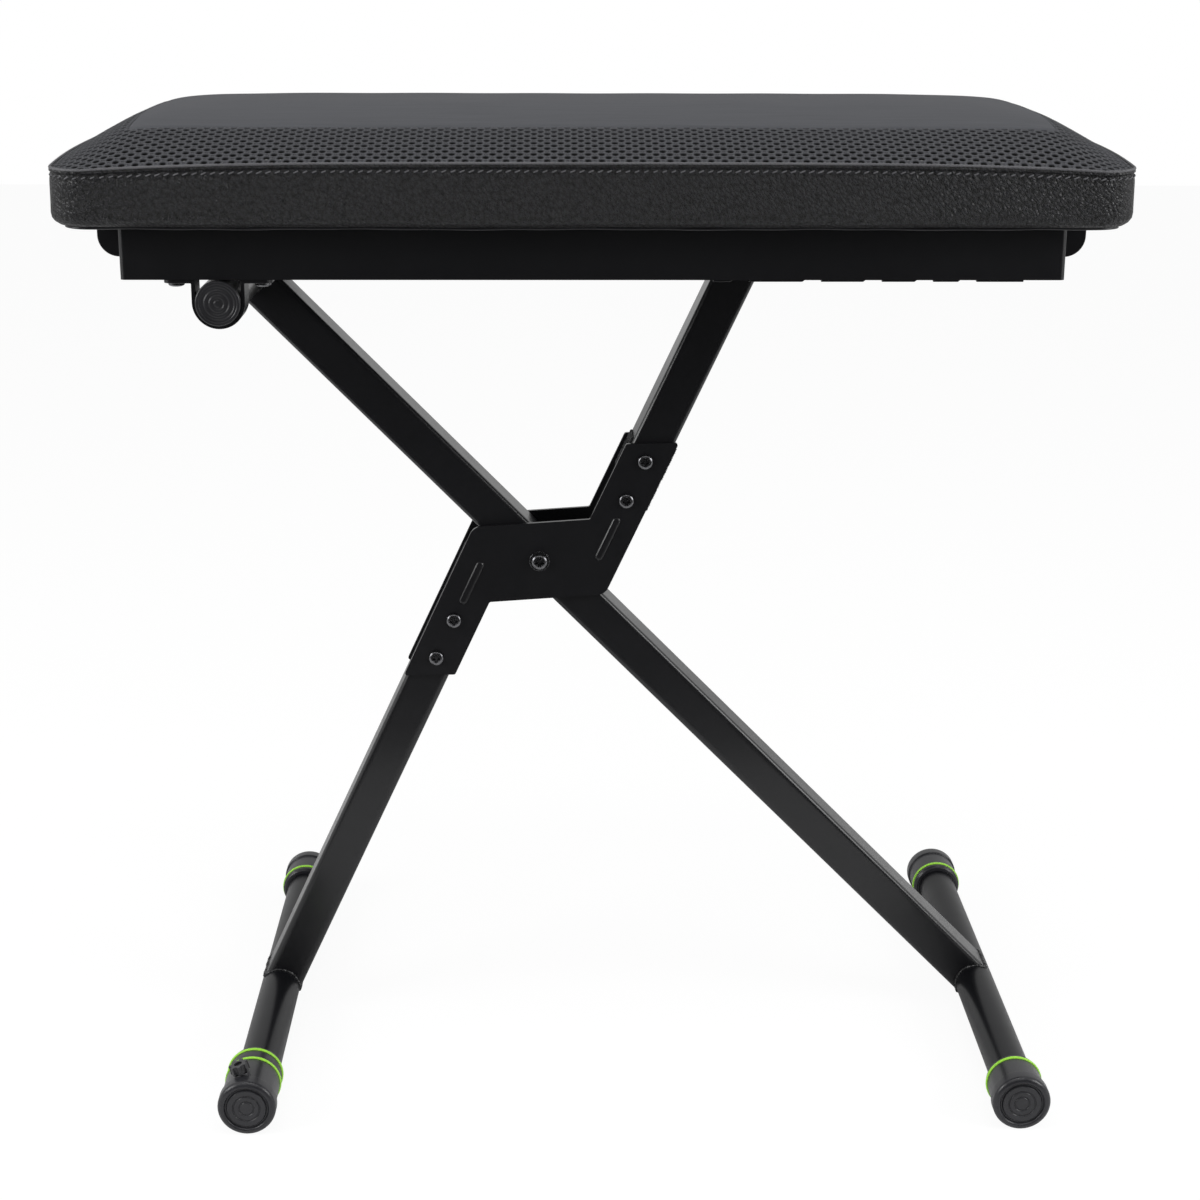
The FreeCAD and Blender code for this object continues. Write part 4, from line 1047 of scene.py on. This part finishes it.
def wrap_band():
    """outline + (section + bulge + pucker + wave) * outward, at the section's height."""
    section = band_section()
    points, out, around = pad_outline(0, BAND_COLUMNS)
    place = np.arange(BAND_COLUMNS) * around / BAND_COLUMNS
    place_2d, height = np.meshgrid(place, section[:, 1], indexing="ij")
    needle = 0.5 + 0.5 * np.cos(2 * np.pi * place_2d / STITCH_PITCH)
    near_stitch = np.exp(-((height - STITCH_Z) / 1.7) ** 2)
    wave = (0.35 * np.sin(2 * np.pi * place_2d * 11 / around + 0.7)
            + 0.25 * np.sin(2 * np.pi * place_2d * 29 / around + height / 9))
    low = np.exp(-(height / 9) ** 2)
    outer = section[:, 0] > -HEM + 1
    shift = side_bulge(place_2d, height) - near_stitch * (0.25 + 0.45 * needle) + wave * (0.35 + low)
    outwards = section[None, :, 0] + shift * outer
    drop = crown(points[:, 0], points[:, 1])
    seam_share = ease(height / BAND_HEIGHT)
    z = PAD_Z + height + drop[:, None] * seam_share + 0.5 * wave * low * outer * (height < 3)
    band = np.concatenate([points[:, None] + out[:, None] * outwards[..., None], z[..., None]], axis=-1)
    return band, section


def band_piece():
    """The band as a mesh with a flat map in metres, for the leaning pebbles."""
    band, section = wrap_band()
    rows, columns = band.shape[:2]
    mesh = write_mesh("cover_leather_band", [(band.reshape(-1, 3), grid_faces(rows, columns, True, True))])
    around = np.arange(rows) * PERIMETER / rows
    along = reach_along(np.vstack([section, section[:1]]))
    flat = mesh.uv_layers.new(name="flat")
    corner = np.empty(len(mesh.loops), np.int32)
    mesh.loops.foreach_get("vertex_index", corner)
    i, j = corner // columns, corner % columns
    first = np.repeat(corner.reshape(-1, 4)[:, 0], 4)
    u = around[i] + PERIMETER * ((first // columns == rows - 1) & (i == 0))
    v = along[j] + along[-1] * ((first % columns == columns - 1) & (j == 0))
    flat.data.foreach_set("uv", (np.column_stack([u, v]) * MM).astype(np.float32).ravel())
    tidy_mesh(mesh, True)
    print("band faces", len(mesh.polygons))
    return add_piece("cover_leather_band", mesh, "cover_side_band", replaced=("cover_side_band",))


band_piece()

# %% [markdown]
# ## Seam cord, stitches and hem lip
# Where the mesh is sewn to the leather, a thin overlocked cord stands up and catches the light. Below
# it runs the row of stitches, each a short leaning capsule of thread. Under the pad the cloth's cut
# edge shows as a thin wavy lip.

# %% Sew the seams
def seam_cord():
    """A twisted cord: its radius beats with the angle and the distance, 0.1 mm each way."""
    count = 2100
    points, out, around = pad_outline(0.6, count)
    place = np.arange(count) * around / count
    z = SEAM_Z + crown(points[:, 0], points[:, 1]) + 0.35
    turn = 2 * np.pi * np.arange(8) / 8
    twist = 0.78 + 0.13 * np.cos(2 * turn + 2 * np.pi * place[:, None] / 2.5)
    skin = sweep(twist[..., None] * circle(8), np.column_stack([points, z]), flat_to_space(out), Z)
    return dress("seam_cord", [skin], "cover_side_band", sewing_thread, replaced=())


def stitch_row():
    """Capsules along the band: middle + slide * slanted direction + radius * (out, across)."""
    count = int(round(PERIMETER / STITCH_PITCH))
    points, out, around = pad_outline(0, count)
    place = np.arange(count) * around / count
    height = np.full(count, STITCH_Z)
    proud = side_bulge(place, height) - 0.28
    drop = crown(points[:, 0], points[:, 1])
    middles = np.column_stack([points + out * proud[:, None], PAD_Z + height + drop])
    outward = flat_to_space(out)
    lean = unit(np.cross(Z, outward) + 0.42 * Z)
    over = np.cross(outward, lean)
    slide = np.linspace(-1.75, 1.75, 6)
    thick = 0.46 * np.sqrt(np.clip(1 - (slide / 1.9) ** 4, 0.02, 1))
    sunk = -0.55 * (slide / 1.75) ** 2
    path = carry(np.column_stack([slide, sunk]), middles, lean, outward)
    rings = carry(thick[:, None, None] * circle(6), path, outward[:, None], over[:, None])
    sides = repeat_faces(grid_faces(6, 6, False, True), 36, count)
    ends = repeat_faces(np.stack([np.arange(6)[::-1], 30 + np.arange(6)]), 36, count)
    skins = shared_skins(rings.reshape(-1, 3), sides, ends)
    return dress("stitch_row", skins, "cover_side_band", sewing_thread, replaced=())


def hem_lip():
    """A flat strip hung below the underside, wavy by a few tenths of a millimetre."""
    count = 700
    points, out, around = pad_outline(8.5, count)
    place = np.arange(count) * around / count
    wave = 0.25 * np.sin(2 * np.pi * place * 13 / around) + 0.18 * np.sin(2 * np.pi * place * 41 / around + 1)
    path = np.column_stack([points + out * wave[:, None] * 2, PAD_Z - 0.55 + wave])
    section = round_off([(-1.3, -0.75, 0.3), (1.3, -0.75, 0.6), (1.3, 0.75, 0.6), (-1.3, 0.75, 0.3)], 3)
    return dress("hem_lip", [sweep(section, path, flat_to_space(out), Z)], "cover_side_band",
                 plug_plastic, replaced=())


seam_cord()
stitch_row()
hem_lip()

# %% [markdown]
# ## Leg tubes and their welds
# A leg is a rectangular tube with round corners. Where it meets a round bar, its end is coped: a
# point at a distance u from the tube's middle line stops sqrt(R^2 - u^2) before the bar's middle. The
# outer skin runs up to those ends and returns as the inner skin, so the tube is one closed wall. A
# lumpy bead of weld follows the same curve.

# %% Make the legs
TUBE_WIDTH = 25.0
TUBE_DEPTH = extent("upper_half_leg")[1]
LONG_DEPTH = extent("long_leg")[1]
TUBE_R = 3.0
PLATE_END = 15.0


def tube_section(width, depth, radius):
    """Rounded rectangle as (across, front to back) points."""
    return fill_in(round_off(box_corners(width / 2, depth / 2, radius), 5), 2.0)


def coped(across, reach, bar_r, sign):
    """Where a point of the tube stops, measured along it: short of the bar by sqrt(R^2 - u^2)."""
    return reach + sign * np.sqrt(np.maximum(bar_r ** 2 - across ** 2, 0))


def tube_wall(width, depth, radius, origin, along, right, ends):
    """One wall between two ends, each end being (distance, bar radius or 0), as nine rows."""
    section = tube_section(width, depth, radius)
    low = coped(section[:, 0], *ends[0], 1)
    high = coped(section[:, 0], *ends[1], -1)
    k = np.linspace(0, 1, 9)[:, None]
    distance = low * (1 - k) + high * k
    return origin + section[:, :1] * right + section[:, 1:] * Y + distance[..., None] * along


def rim_skin(outer, inner):
    """A flat end between the rims of two walls, joined by their share of the way round."""
    steps = np.linspace(0, 1, len(outer), endpoint=False)
    inner_steps = np.linspace(0, 1, len(inner) + 1)
    match = along_line(steps, inner_steps, np.vstack([inner, inner[:1]]))
    return np.concatenate([outer, match]), grid_faces(2, len(outer), False, True)


def leg(name, node, depth, *place):
    """A tube as one closed wall: outside, inside and both rims. Gives the two outer rims."""
    outer = tube_wall(TUBE_WIDTH, depth, TUBE_R, *place)
    inner = tube_wall(TUBE_WIDTH - 2 * WALL, depth - 2 * WALL, TUBE_R - WALL, *place)
    skins = [(wall.reshape(-1, 3), grid_faces(9, wall.shape[1], False, True)) for wall in (outer, inner)]
    dress(name, skins + [rim_skin(outer[end], inner[end]) for end in (0, -1)], node)
    return outer[0], outer[-1]


def weld(name, rim, like, seed):
    """A bead along a rim, 1.3 mm thick, whose size ripples as the puddles of a weld do."""
    line = fill_in(rim, 1.2)
    count = len(line)
    ahead = unit(np.roll(line, -1, axis=0) - np.roll(line, 1, axis=0))
    out = unit(line - line.mean(axis=0))
    side = unit(out - (out * ahead).sum(1, keepdims=True) * ahead)
    over = np.cross(ahead, side)
    noise = np.random.default_rng(seed).normal(size=count)
    lumps = np.convolve(np.tile(noise, 3), np.ones(4) / 4, "same")[count:2 * count]
    size = 1.15 + 0.22 * np.sin(np.arange(count) * 1.9) + 0.25 * lumps
    return dress(name, [sweep(size[:, None, None] * circle(10), line, side, over)], like, replaced=())


def make_legs():
    """The long leg, and the two halves of the short leg set off to both sides of the pivot."""
    long_ends = ((-np.linalg.norm(RIGHT_FOOT - PIVOT), BAR_R), (np.linalg.norm(CROSSBAR - PIVOT), BAR_R))
    foot, top = leg("long_leg_tube", "long_leg", LONG_DEPTH, PIVOT, LONG_UP, np.cross(Y, LONG_UP), long_ends)
    weld("foot_weld", foot, "long_leg", 3)
    weld("crossbar_weld", top, "long_leg", 4)
    upper = PIVOT + HALF_OFFSET * SHORT_RIGHT
    lower = PIVOT - HALF_OFFSET * SHORT_RIGHT
    upper_ends = ((PLATE_END, 0), ((LOCK_BAR - upper) @ SHORT_UP, LOCK_BAR_R))
    lower_ends = (((LEFT_FOOT - lower) @ SHORT_UP, BAR_R), (-PLATE_END, 0))
    _, top = leg("upper_half_tube", "upper_half_leg", TUBE_DEPTH, upper, SHORT_UP, SHORT_RIGHT, upper_ends)
    weld("lock_bar_weld", top, "upper_half_leg", 5)
    foot, _ = leg("lower_half_tube", "lower_half_leg", TUBE_DEPTH, lower, SHORT_UP, SHORT_RIGHT, lower_ends)
    weld("left_foot_weld", foot, "lower_half_leg", 6)


make_legs()

# %% [markdown]
# ## Round bars
# The crossbar and the two foot bars are plain tube. A lathe profile that closes on itself gives the
# wall: out along the outside, back along the inside.

# %% Turn the bars
def bar(name, node):
    """A tube as long as its node: the outside, both rims with a small bevel, and the inside."""
    _, half, outer = extent(node) / 2
    bevel = 0.3
    profile = np.array([(outer - bevel, -half), (outer, bevel - half), (outer, half - bevel),
                        (outer - bevel, half), (outer - WALL, half), (outer - WALL, -half)])
    return dress(name, [lathe(profile[:, 0], profile[:, 1], middle(node), Y, ring=True)], node)


bar("crossbar_tube", "seat_crossbar")
bar("right_foot_tube", "right_foot_bar")
bar("left_foot_tube", "left_foot_bar")

# %% [markdown]
# ## Rubber caps
# A cap is a sleeve with a wider disc on its end. Its rim is a fat quarter round, and the face inside
# it sinks a little and carries plain rings. The levelling cap has the same form, longer, with two
# grooves for green rings and a bore off to one side: its inner rows simply turn about the bar's
# middle while the outer rows turn about the cap's.

# %% Turn the caps
CAP_R = 17.6
CAP_BODY_R = 16.5
CAP_DISC_T = 9.5
RING_W = 2.0
RING_PLACES = {"plain": (28.0,), "levelling": (33.5, 44.5)}
CAP_LENGTHS = {"plain": 33.0, "levelling": 49.4}
FACE_T = 9.0


def cap_face():
    """Face profile: a flat dish 0.7 mm deep with rings, each ring a bell-shaped dip."""
    radius = np.linspace(0, 13.6, 80)
    depth = 0.7 - 0.25 * (radius / 13.6) ** 2
    for place, sink, width in ((4.4, 0.55, 0.5), (8.0, 0.6, 0.5), (12.6, 1.3, 0.8)):
        depth = depth + sink * np.exp(-((radius - place) / width) ** 4)
    return np.column_stack([radius, depth])


def cap_outside(kind):
    """Rim, side of the disc, step down to the sleeve, ring beds, and the mouth's chamfer."""
    length = CAP_LENGTHS[kind]
    corners = [(13.7, 0.45, 0), (14.4, 0.0, 0.8), (CAP_R, 0.0, 3.2), (CAP_R, CAP_DISC_T, 0.7),
               (CAP_BODY_R, CAP_DISC_T + 0.5, 0.5)]
    for place in RING_PLACES[kind]:
        near, far = place - RING_W / 2, place + RING_W / 2
        corners += [(CAP_BODY_R, near, 0.2), (CAP_BODY_R - 1, near, 0.1), (CAP_BODY_R - 1, far, 0.1),
                    (CAP_BODY_R, far, 0.2)]
    corners += [(CAP_BODY_R, length - 1.6, 0.9), (CAP_BODY_R - 1.6, length, 0.5), (BAR_R + 0.2, length, 0)]
    return round_off(corners, 7, closed=False)


def face_and_inwards(node, rear):
    """Where the outer face of a cap or plug lies along Y, and the direction in from it."""
    low, high = span(node)
    return (high[1], -Y) if rear else (low[1], Y)


def cap(node, kind, centre, bar_centre, rear=False):
    """Turn a cap; the height runs inwards from the face."""
    face_y, inwards = face_and_inwards(node, rear)
    outer = np.concatenate([cap_face(), cap_outside(kind)])
    bore = np.array([(BAR_R + 0.05, CAP_LENGTHS[kind]), (BAR_R + 0.05, FACE_T), (0.0, FACE_T)])
    points, faces = lathe(np.append(outer[:, 0], bore[:, 0]), np.append(outer[:, 1], bore[:, 1]),
                          np.array([centre[0], face_y, centre[2]]), inwards)
    rows = points.reshape(-1, 96, 3)
    rows[len(outer):] += bar_centre - centre
    return dress(node + "_skin", [(rows.reshape(-1, 3), faces)], node)


def green_ring(name, node, centre, places):
    """Rubber rings with a soft, slightly crowned face."""
    section = round_off([(CAP_BODY_R - 1, -1, 0), (CAP_BODY_R + 0.75, -1, 0.6), (CAP_BODY_R + 0.75, 1, 0.6),
                         (CAP_BODY_R - 1, 1, 0)], 5)
    skins = [lathe(section[:, 0], section[:, 1] + y, centre, Y, ring=True) for y in places]
    return dress(name, skins, node)


def clamp_boss():
    """The boss that holds the clamp screw's nut: a stub with a pocket, turned about the screw."""
    axis = np.array(joint_called("clamp_screw_turn")["axis"])
    low, top = 14.0, 18.9
    corners = [(2.6, low, 0), (5.2, low, 0), (5.2, top, 0.5), (4.15, top, 0.2), (4.15, top - 2.6, 0),
               (2.6, top - 2.6, 0)]
    profile = round_off(corners, 4)
    skin = lathe(profile[:, 0], profile[:, 1], joint_place("clamp_screw_turn"), axis, 48, ring=True)
    return dress("clamp_boss", [skin], "levelling_cap", replaced=())


def flat_centre(place):
    """A foot's middle with no place along Y."""
    return np.array([place[0], 0.0, place[2]])


FOOT_HALF = -span("right_front_cap")[0][1]
RIGHT = flat_centre(RIGHT_FOOT)
LEFT = flat_centre(LEFT_FOOT)
LEVEL = flat_centre(middle("levelling_rings"))
cap("right_front_cap", "plain", RIGHT, RIGHT)
cap("right_rear_cap", "plain", RIGHT, RIGHT, rear=True)
cap("left_rear_cap", "plain", LEFT, LEFT, rear=True)
cap("levelling_cap", "levelling", LEVEL, LEFT)
clamp_boss()
plain_ring = FOOT_HALF - RING_PLACES["plain"][0]
green_ring("right_ring_pair", "right_cap_rings", RIGHT, (-plain_ring, plain_ring))
green_ring("left_ring", "left_cap_ring", LEFT, (plain_ring,))
green_ring("levelling_ring_pair", "levelling_rings", LEVEL, [p - FOOT_HALF for p in RING_PLACES["levelling"]])

# %% [markdown]
# ## Crossbar plugs
# The seat's crossbar is closed by plastic plugs with a raised rim and rings moulded into the face.

# %% Turn the plugs
def plug(name, node, rear=False):
    """Face with rings as cosine ripples between two radii, a rounded rim, and the stem inside."""
    face_y, inwards = face_and_inwards(node, rear)
    radius = np.linspace(0, 10.6, 60)
    ripple = 0.22 * (1 - np.cos(2 * np.pi * (radius - 1.2) / 2.9)) * (radius > 1.2) * (radius < 9.9)
    face = np.column_stack([radius, 0.35 + ripple])
    stem = BAR_R - WALL - 0.05
    side = round_off([(10.9, 0.1, 0), (BAR_R, 0.0, 0.9), (BAR_R, 2.4, 0.2), (stem, 2.4, 0), (stem, 16.4, 1.2),
                      (0.0, 16.4, 0)], 6, closed=False)
    profile = np.concatenate([face, side])
    centre = np.array([CROSSBAR[0], face_y, CROSSBAR[2]])
    return dress(name, [lathe(profile[:, 0], profile[:, 1], centre, inwards)], node)


plug("front_plug_face", "front_crossbar_plug")
plug("rear_plug_face", "rear_crossbar_plug", rear=True)

# %% [markdown]
# ## Pan-head screws
# The heads are low domes with a cross-shaped recess. The dome is a grid of radius and angle whose
# height drops wherever the point lies in one of the two arms of the cross. The same grid goes on
# round the rim and down the shank, so head and shank are one skin.

# %% Turn the screws
def screw(place, out, head_r, head_h, shank_r, shank_length):
    """Height over the seat: dome h * sqrt(1 - 0.62 (r/R)^4) less a cross of sloping arms."""
    count = 72
    radius = np.linspace(0, 1, 26)[:, None] * head_r * 0.985
    x, y = np.abs(radius * circle(count)[:, 0]), np.abs(radius * circle(count)[:, 1])
    dome = head_h * np.sqrt(1 - 0.62 * (radius / head_r) ** 4)
    long_way, short_way = np.maximum(x, y), np.minimum(x, y)
    arm_length, arm_width = 0.60 * head_r, 0.17 * head_r
    depth = 0.6 * head_h * ease((arm_length - long_way) / 0.3) * ease((arm_width - short_way) / 0.25 + 0.5)
    head = dome - depth
    rest_r = np.array([head_r, head_r, shank_r, shank_r, 0.0])
    rest_h = np.array([head_h * 0.5, 0.0, 0.0, -shank_length, -shank_length])
    all_r = np.vstack([np.broadcast_to(radius, head.shape), np.broadcast_to(rest_r[:, None], (5, count))])
    all_h = np.vstack([head, np.broadcast_to(rest_h[:, None], (5, count))])
    return lathe(all_r, all_h, place, out, count)


def screw_seats(node, axis, upper):
    """Middles of the heads of a node's screws: loose bits of its mesh, at one end along an axis."""
    work = merged(frame["nodes"][node].data)
    seats = []
    left = set(work.verts)
    while left:
        bit = [left.pop()]
        for vertex in bit:
            fresh = {e.other_vert(vertex) for e in vertex.link_edges} & left
            left -= fresh
            bit.extend(fresh)
        points = np.array([v.co for v in bit]) / MM
        seat = (points.min(0) + points.max(0)) / 2
        seat[axis] = points[:, axis].max() if upper else points[:, axis].min()
        seats.append(seat)
    work.free()
    return seats


def screw_group(name, node, out, axis, head_r, head_h, shank_r):
    """Every screw of a node, its head at the node's end and its shank as long as the node's."""
    length = extent(node)[axis] - head_h
    skins = [screw(seat - out * head_h, out, head_r, head_h, shank_r, length)
             for seat in screw_seats(node, axis, out[axis] > 0)]
    return dress(name, skins, node)


screw_group("plate_screw_heads", "plate_screws", -Y, 1, 4.6, 2.8, 2.5)
screw_group("pivot_screw", "pivot_bolt", -Y, 1, 5.0, 3.6, 3.0)
screw_group("saddle_screw_heads", "saddle_screws", -Z, 2, 4.6, 2.8, 2.5)
screw_group("board_screw_heads", "board_screws", -Z, 2, 4.6, 2.8, 2.0)

# %% [markdown]
# ## Pressed and folded steel
# Rails, brackets, plates and saddles already have the right form, but their edges are as sharp as
# drawn, and a real edge always catches a line of light. A merged copy of each takes the place of the
# node, and a Bevel rounds its edges. Flat faces are joined first, so that the Bevel finds only real
# edges.

# %% Soften the steel edges
SHARP_FOLD = math.radians(16.0)
BEVEL_FOLD = math.radians(30.0)
FLAT_FOLD = math.radians(0.6)
EDGES = {
    0.45: ("front_rail", "rear_rail", "left_end_bracket", "right_end_bracket"),
    0.40: ("front_bracket_plate", "rear_bracket_plate"),
    0.35: ("front_saddle", "rear_saddle", "thumbscrew"),
    0.30: ("front_rack", "rear_rack", "plate_nuts", "saddle_nuts", "pivot_nut"),
    0.20: ("pivot_washers",),
}


def softened(node, width):
    """A merged copy of a node with its edges rounded by a width in millimetres.

    Edges that turn by more than a few degrees are marked sharp, so a flat face stays flat up to a
    shallow bead pressed in it."""
    mesh = frame["nodes"][node].data.copy()
    mesh.name = node + "_skin"
    work = merged(mesh)
    bmesh.ops.dissolve_limit(work, angle_limit=FLAT_FOLD, verts=work.verts, edges=work.edges)
    work.to_mesh(mesh)
    work.free()
    mesh.materials.clear()
    mesh.shade_smooth()
    mesh.set_sharp_from_angle(angle=SHARP_FOLD)
    piece = add_piece(node + "_skin", mesh, node, replaced=(node,))
    bevel = piece.modifiers.new("edges", "BEVEL")
    bevel.width = width * MM
    bevel.segments = 2
    bevel.limit_method = "ANGLE"
    bevel.angle_limit = BEVEL_FOLD
    bevel.harden_normals = True
    return piece


softened_pieces = [softened(node, width) for width, nodes in EDGES.items() for node in nodes]
print("softened steel pieces:", len(softened_pieces))

# %% [markdown]
# ## Pressed beads
# Each arm of a plate is stiffened by a pressed bead. It is a long round-ended hump with steep flanks
# and an almost level top, so we make it as rings round a line: every ring keeps its distance from the
# line, and its height follows from that distance.

# %% Press the beads
BEAD_REACH = (18.5, 44.0)
BEAD_HALF = 2.5
BEAD_RISE = 0.95
CAD_BEAD_RISE = 0.8


def bead(side, out):
    """Rings k * half width round a line, at a height of rise * (1 - k^4), closed 0.3 mm below."""
    count = 48
    near, far = BEAD_REACH
    ring = circle(count)
    middle_line = np.where(ring[:, 0] > 0, far, near)
    k = np.append(np.linspace(0, 1, 10), 0.0)[:, None]
    height = np.append(BEAD_RISE * (1 - np.linspace(0, 1, 10) ** 4), -0.3)[:, None]
    along = middle_line + k * BEAD_HALF * ring[:, 0]
    across = k * BEAD_HALF * ring[:, 1]
    face = span("front_bracket_plate")[0][1] if out < 0 else span("rear_bracket_plate")[1][1]
    flush = face - out * CAD_BEAD_RISE
    points = (PIVOT + side * (HALF_OFFSET * SHORT_RIGHT + along[..., None] * SHORT_UP)
              + across[..., None] * SHORT_RIGHT + (flush + out * height)[..., None] * Y)
    return points.reshape(-1, 3), grid_faces(11, count, False, True)


for side_name, out in (("front", -1), ("rear", 1)):
    dress(side_name + "_plate_beads", [bead(side, out) for side in (1, -1)],
          side_name + "_bracket_plate", replaced=())

# %% [markdown]
# ## The strap
# A hook-and-loop strap is wound on the upper half of the short leg. Its body is a slab with a lumpy
# skin, and hundreds of tiny bent loops stand on it, because it is the ragged outline that tells it
# from plain webbing.

# %% Wind the strap
def lumpy_slab(origin, right, along, half_width, low, high, thick, seed):
    """A slab whose section is a rounded rectangle that shrinks and swells along its length."""
    rng = np.random.default_rng(seed)
    section = fill_in(round_off([(0, -half_width, 0.3), (thick, -half_width, 0.9), (thick, half_width, 0.9),
                                 (0, half_width, 0.3)], 4), 1.5)
    k = np.linspace(low, high, 46)
    lump = 1 + 0.05 * rng.normal(size=(len(k), len(section)))
    lump[0] *= 0.6
    lump[-1] *= 0.6
    sections = np.stack([section[:, 0] * lump, np.broadcast_to(section[:, 1], lump.shape)], axis=-1)
    grid = carry(sections, origin + k[:, None] * along, right, Y)
    rows, columns = lump.shape
    ends = np.stack([np.arange(columns)[::-1], (rows - 1) * columns + np.arange(columns)])
    return shared_skins(grid.reshape(-1, 3), grid_faces(rows, columns, False, True), ends)


def loops(origin, right, along, half_width, low, high, thick, count, seed):
    """Small arches of thread: base + slide * lean + height * out, on a three-sided section."""
    rng = np.random.default_rng(seed)
    base = (origin + rng.uniform(low, high, count)[:, None] * along + (thick - 0.15) * right
            + rng.uniform(-half_width, half_width, count)[:, None] * Y)
    lean = unit(rng.normal(size=(count, 3)) - right)
    size = rng.uniform(0.35, 0.85, count)
    k = np.linspace(0, np.pi, 5)
    arch = np.column_stack([0.5 * np.cos(k), np.sin(k)])
    path = carry(size[:, None, None] * arch, base, lean, right)
    rings = carry(0.09 * circle(3), path, unit(np.cross(lean, right))[:, None], lean[:, None])
    return rings.reshape(-1, 3), repeat_faces(grid_faces(5, 3, False, True), 15, count)


def wind_strap():
    """The folded stack on the outer face of the tube and the tail on its inner face."""
    outer = PIVOT + (HALF_OFFSET + TUBE_WIDTH / 2) * SHORT_RIGHT
    inner = PIVOT + (HALF_OFFSET - TUBE_WIDTH / 2) * SHORT_RIGHT
    skins = lumpy_slab(outer, SHORT_RIGHT, SHORT_UP, 12.0, 56.0, 101.0, 2.7, 11)
    tail = lumpy_slab(inner, -SHORT_RIGHT, SHORT_UP, 12.0, 72.0, 96.0, 1.25, 12)
    fuzz = loops(outer, SHORT_RIGHT, SHORT_UP, 11.5, 56.5, 100.5, 2.6, 900, 13)
    tail_fuzz = loops(inner, -SHORT_RIGHT, SHORT_UP, 11.5, 72.5, 95.5, 1.2, 260, 14)
    return dress("strap_fuzz", skins + tail + [fuzz, tail_fuzz], "leg_strap", closed=False)


wind_strap()

# %% [markdown]
# ## Light, floor and background
# The bench stands on a pale floor in a white studio. Two long soft lamps hang overhead, which draw a
# line of light along every upper edge, and two boxes stand left and right of the camera, whose
# reflections round off the leather at the corners. The world is white to the camera and in
# reflections, apart from the dark side behind the camera, which keeps the fronts of the legs black.

# %% Light the studio
LAMPS = {
    "overhead": ((0.0, -0.4, 2.0), (0.0, 0.0, 0.5), (1.6, 0.35), 7.0),
    "front_strip": ((0.0, -1.35, 1.75), (0.0, 0.0, 0.5), (1.8, 0.3), 3.5),
    "left_box": ((-1.45, -0.65, 0.85), (-0.1, 0.0, 0.5), (0.8, 0.7), 11.0),
    "right_box": ((1.45, -0.65, 0.85), (0.1, 0.0, 0.5), (0.8, 0.7), 11.0),
}
FRONT_DARK = 0.03
SIDE_WHITE = 0.7
WORLD_LIGHT = 0.36


def area_lamp(name, place, target, size, power):
    """A rectangular soft lamp at a place, turned to a target."""
    data = bpy.data.lights.new(name, "AREA")
    data.shape = "RECTANGLE"
    data.size, data.size_y = size
    data.energy = power
    back = unit(np.array(place) - np.array(target))
    right = unit(np.cross(Z, back))
    return stand(new_object(name, data), right, np.cross(back, right), back, place)


def white_world():
    """White to the camera; dimmer as light; in reflections white with a dark side at the front."""
    world = bpy.data.worlds.new("studio")
    bpy.context.scene.world = world
    studio = Nodes(world)
    rays = {kind: studio.node("LightPath", result="Is " + kind + " Ray")
            for kind in ("Camera", "Glossy", "Transmission")}
    direction = studio.node("TexCoord", result="Generated")
    depth = studio.node("SeparateXYZ", {}, {0: direction}, result="Y")
    mirrored = studio.node("MapRange", {"interpolation_type": "SMOOTHSTEP"},
                           {"Value": depth, "From Min": -0.8, "From Max": -0.1,
                            "To Min": FRONT_DARK, "To Max": SIDE_WHITE}, result="Result")
    seen = studio.node("Math", {"operation": "MAXIMUM"}, {0: rays["Camera"], 1: rays["Transmission"]})
    shine = studio.node("Mix", {}, {0: rays["Glossy"], 2: WORLD_LIGHT, 3: mirrored})
    strength = studio.node("Mix", {}, {0: seen, 2: shine, 3: 1.0})
    background = studio.node("Background", {}, {"Color": (1, 1, 1), "Strength": strength})
    studio.node("OutputWorld", {}, {"Surface": background})


white_world()
for lamp_name, setting in LAMPS.items():
    area_lamp(lamp_name, *setting)
bpy.context.scene.view_settings.view_transform = "Standard"
print("studio lit by", list(LAMPS))

# %% [markdown]
# ## The floor
# A floor that is only lit goes grey towards the horizon. Ours also glows for camera rays, so it is seen
# white, and the share that doesn't glow keeps the bench's shadow. It ends a little in front of the
# bench: the upright faces mirror the dark behind the camera, and grow lighter only towards the feet.

# %% Lay the floor
FLOOR_GLOW = 0.88
FLOOR_WHITE = 1.05
FLOOR_FRONT = 500.0
FLOOR_HALF = 5000.0


def pale_floor():
    """One large square, cut off in front, whose paint and glow are mixed by the kind of ray."""
    corners = [(-FLOOR_HALF, -FLOOR_FRONT, 0), (FLOOR_HALF, -FLOOR_FRONT, 0), (FLOOR_HALF, FLOOR_HALF, 0),
               (-FLOOR_HALF, FLOOR_HALF, 0)]
    mesh = write_mesh("floor", [(np.array(corners), np.array([[0, 1, 2, 3]]))])
    finish = Finish("floor_white")
    paint = finish.node("BsdfPrincipled", {}, {"Base Color": (0.93, 0.93, 0.93), "Roughness": 0.9,
                                               "Specular IOR Level": 0.0})
    glow = finish.node("Emission", {}, {"Strength": FLOOR_WHITE})
    share = finish.node("LightPath", result="Is Camera Ray") * FLOOR_GLOW
    mesh.materials.append(finish.show(finish.node("MixShader", {}, {0: share, 1: paint, 2: glow})))
    floor = new_object("floor", mesh)
    return floor


print("floor", tuple(round(side, 2) for side in pale_floor().dimensions))
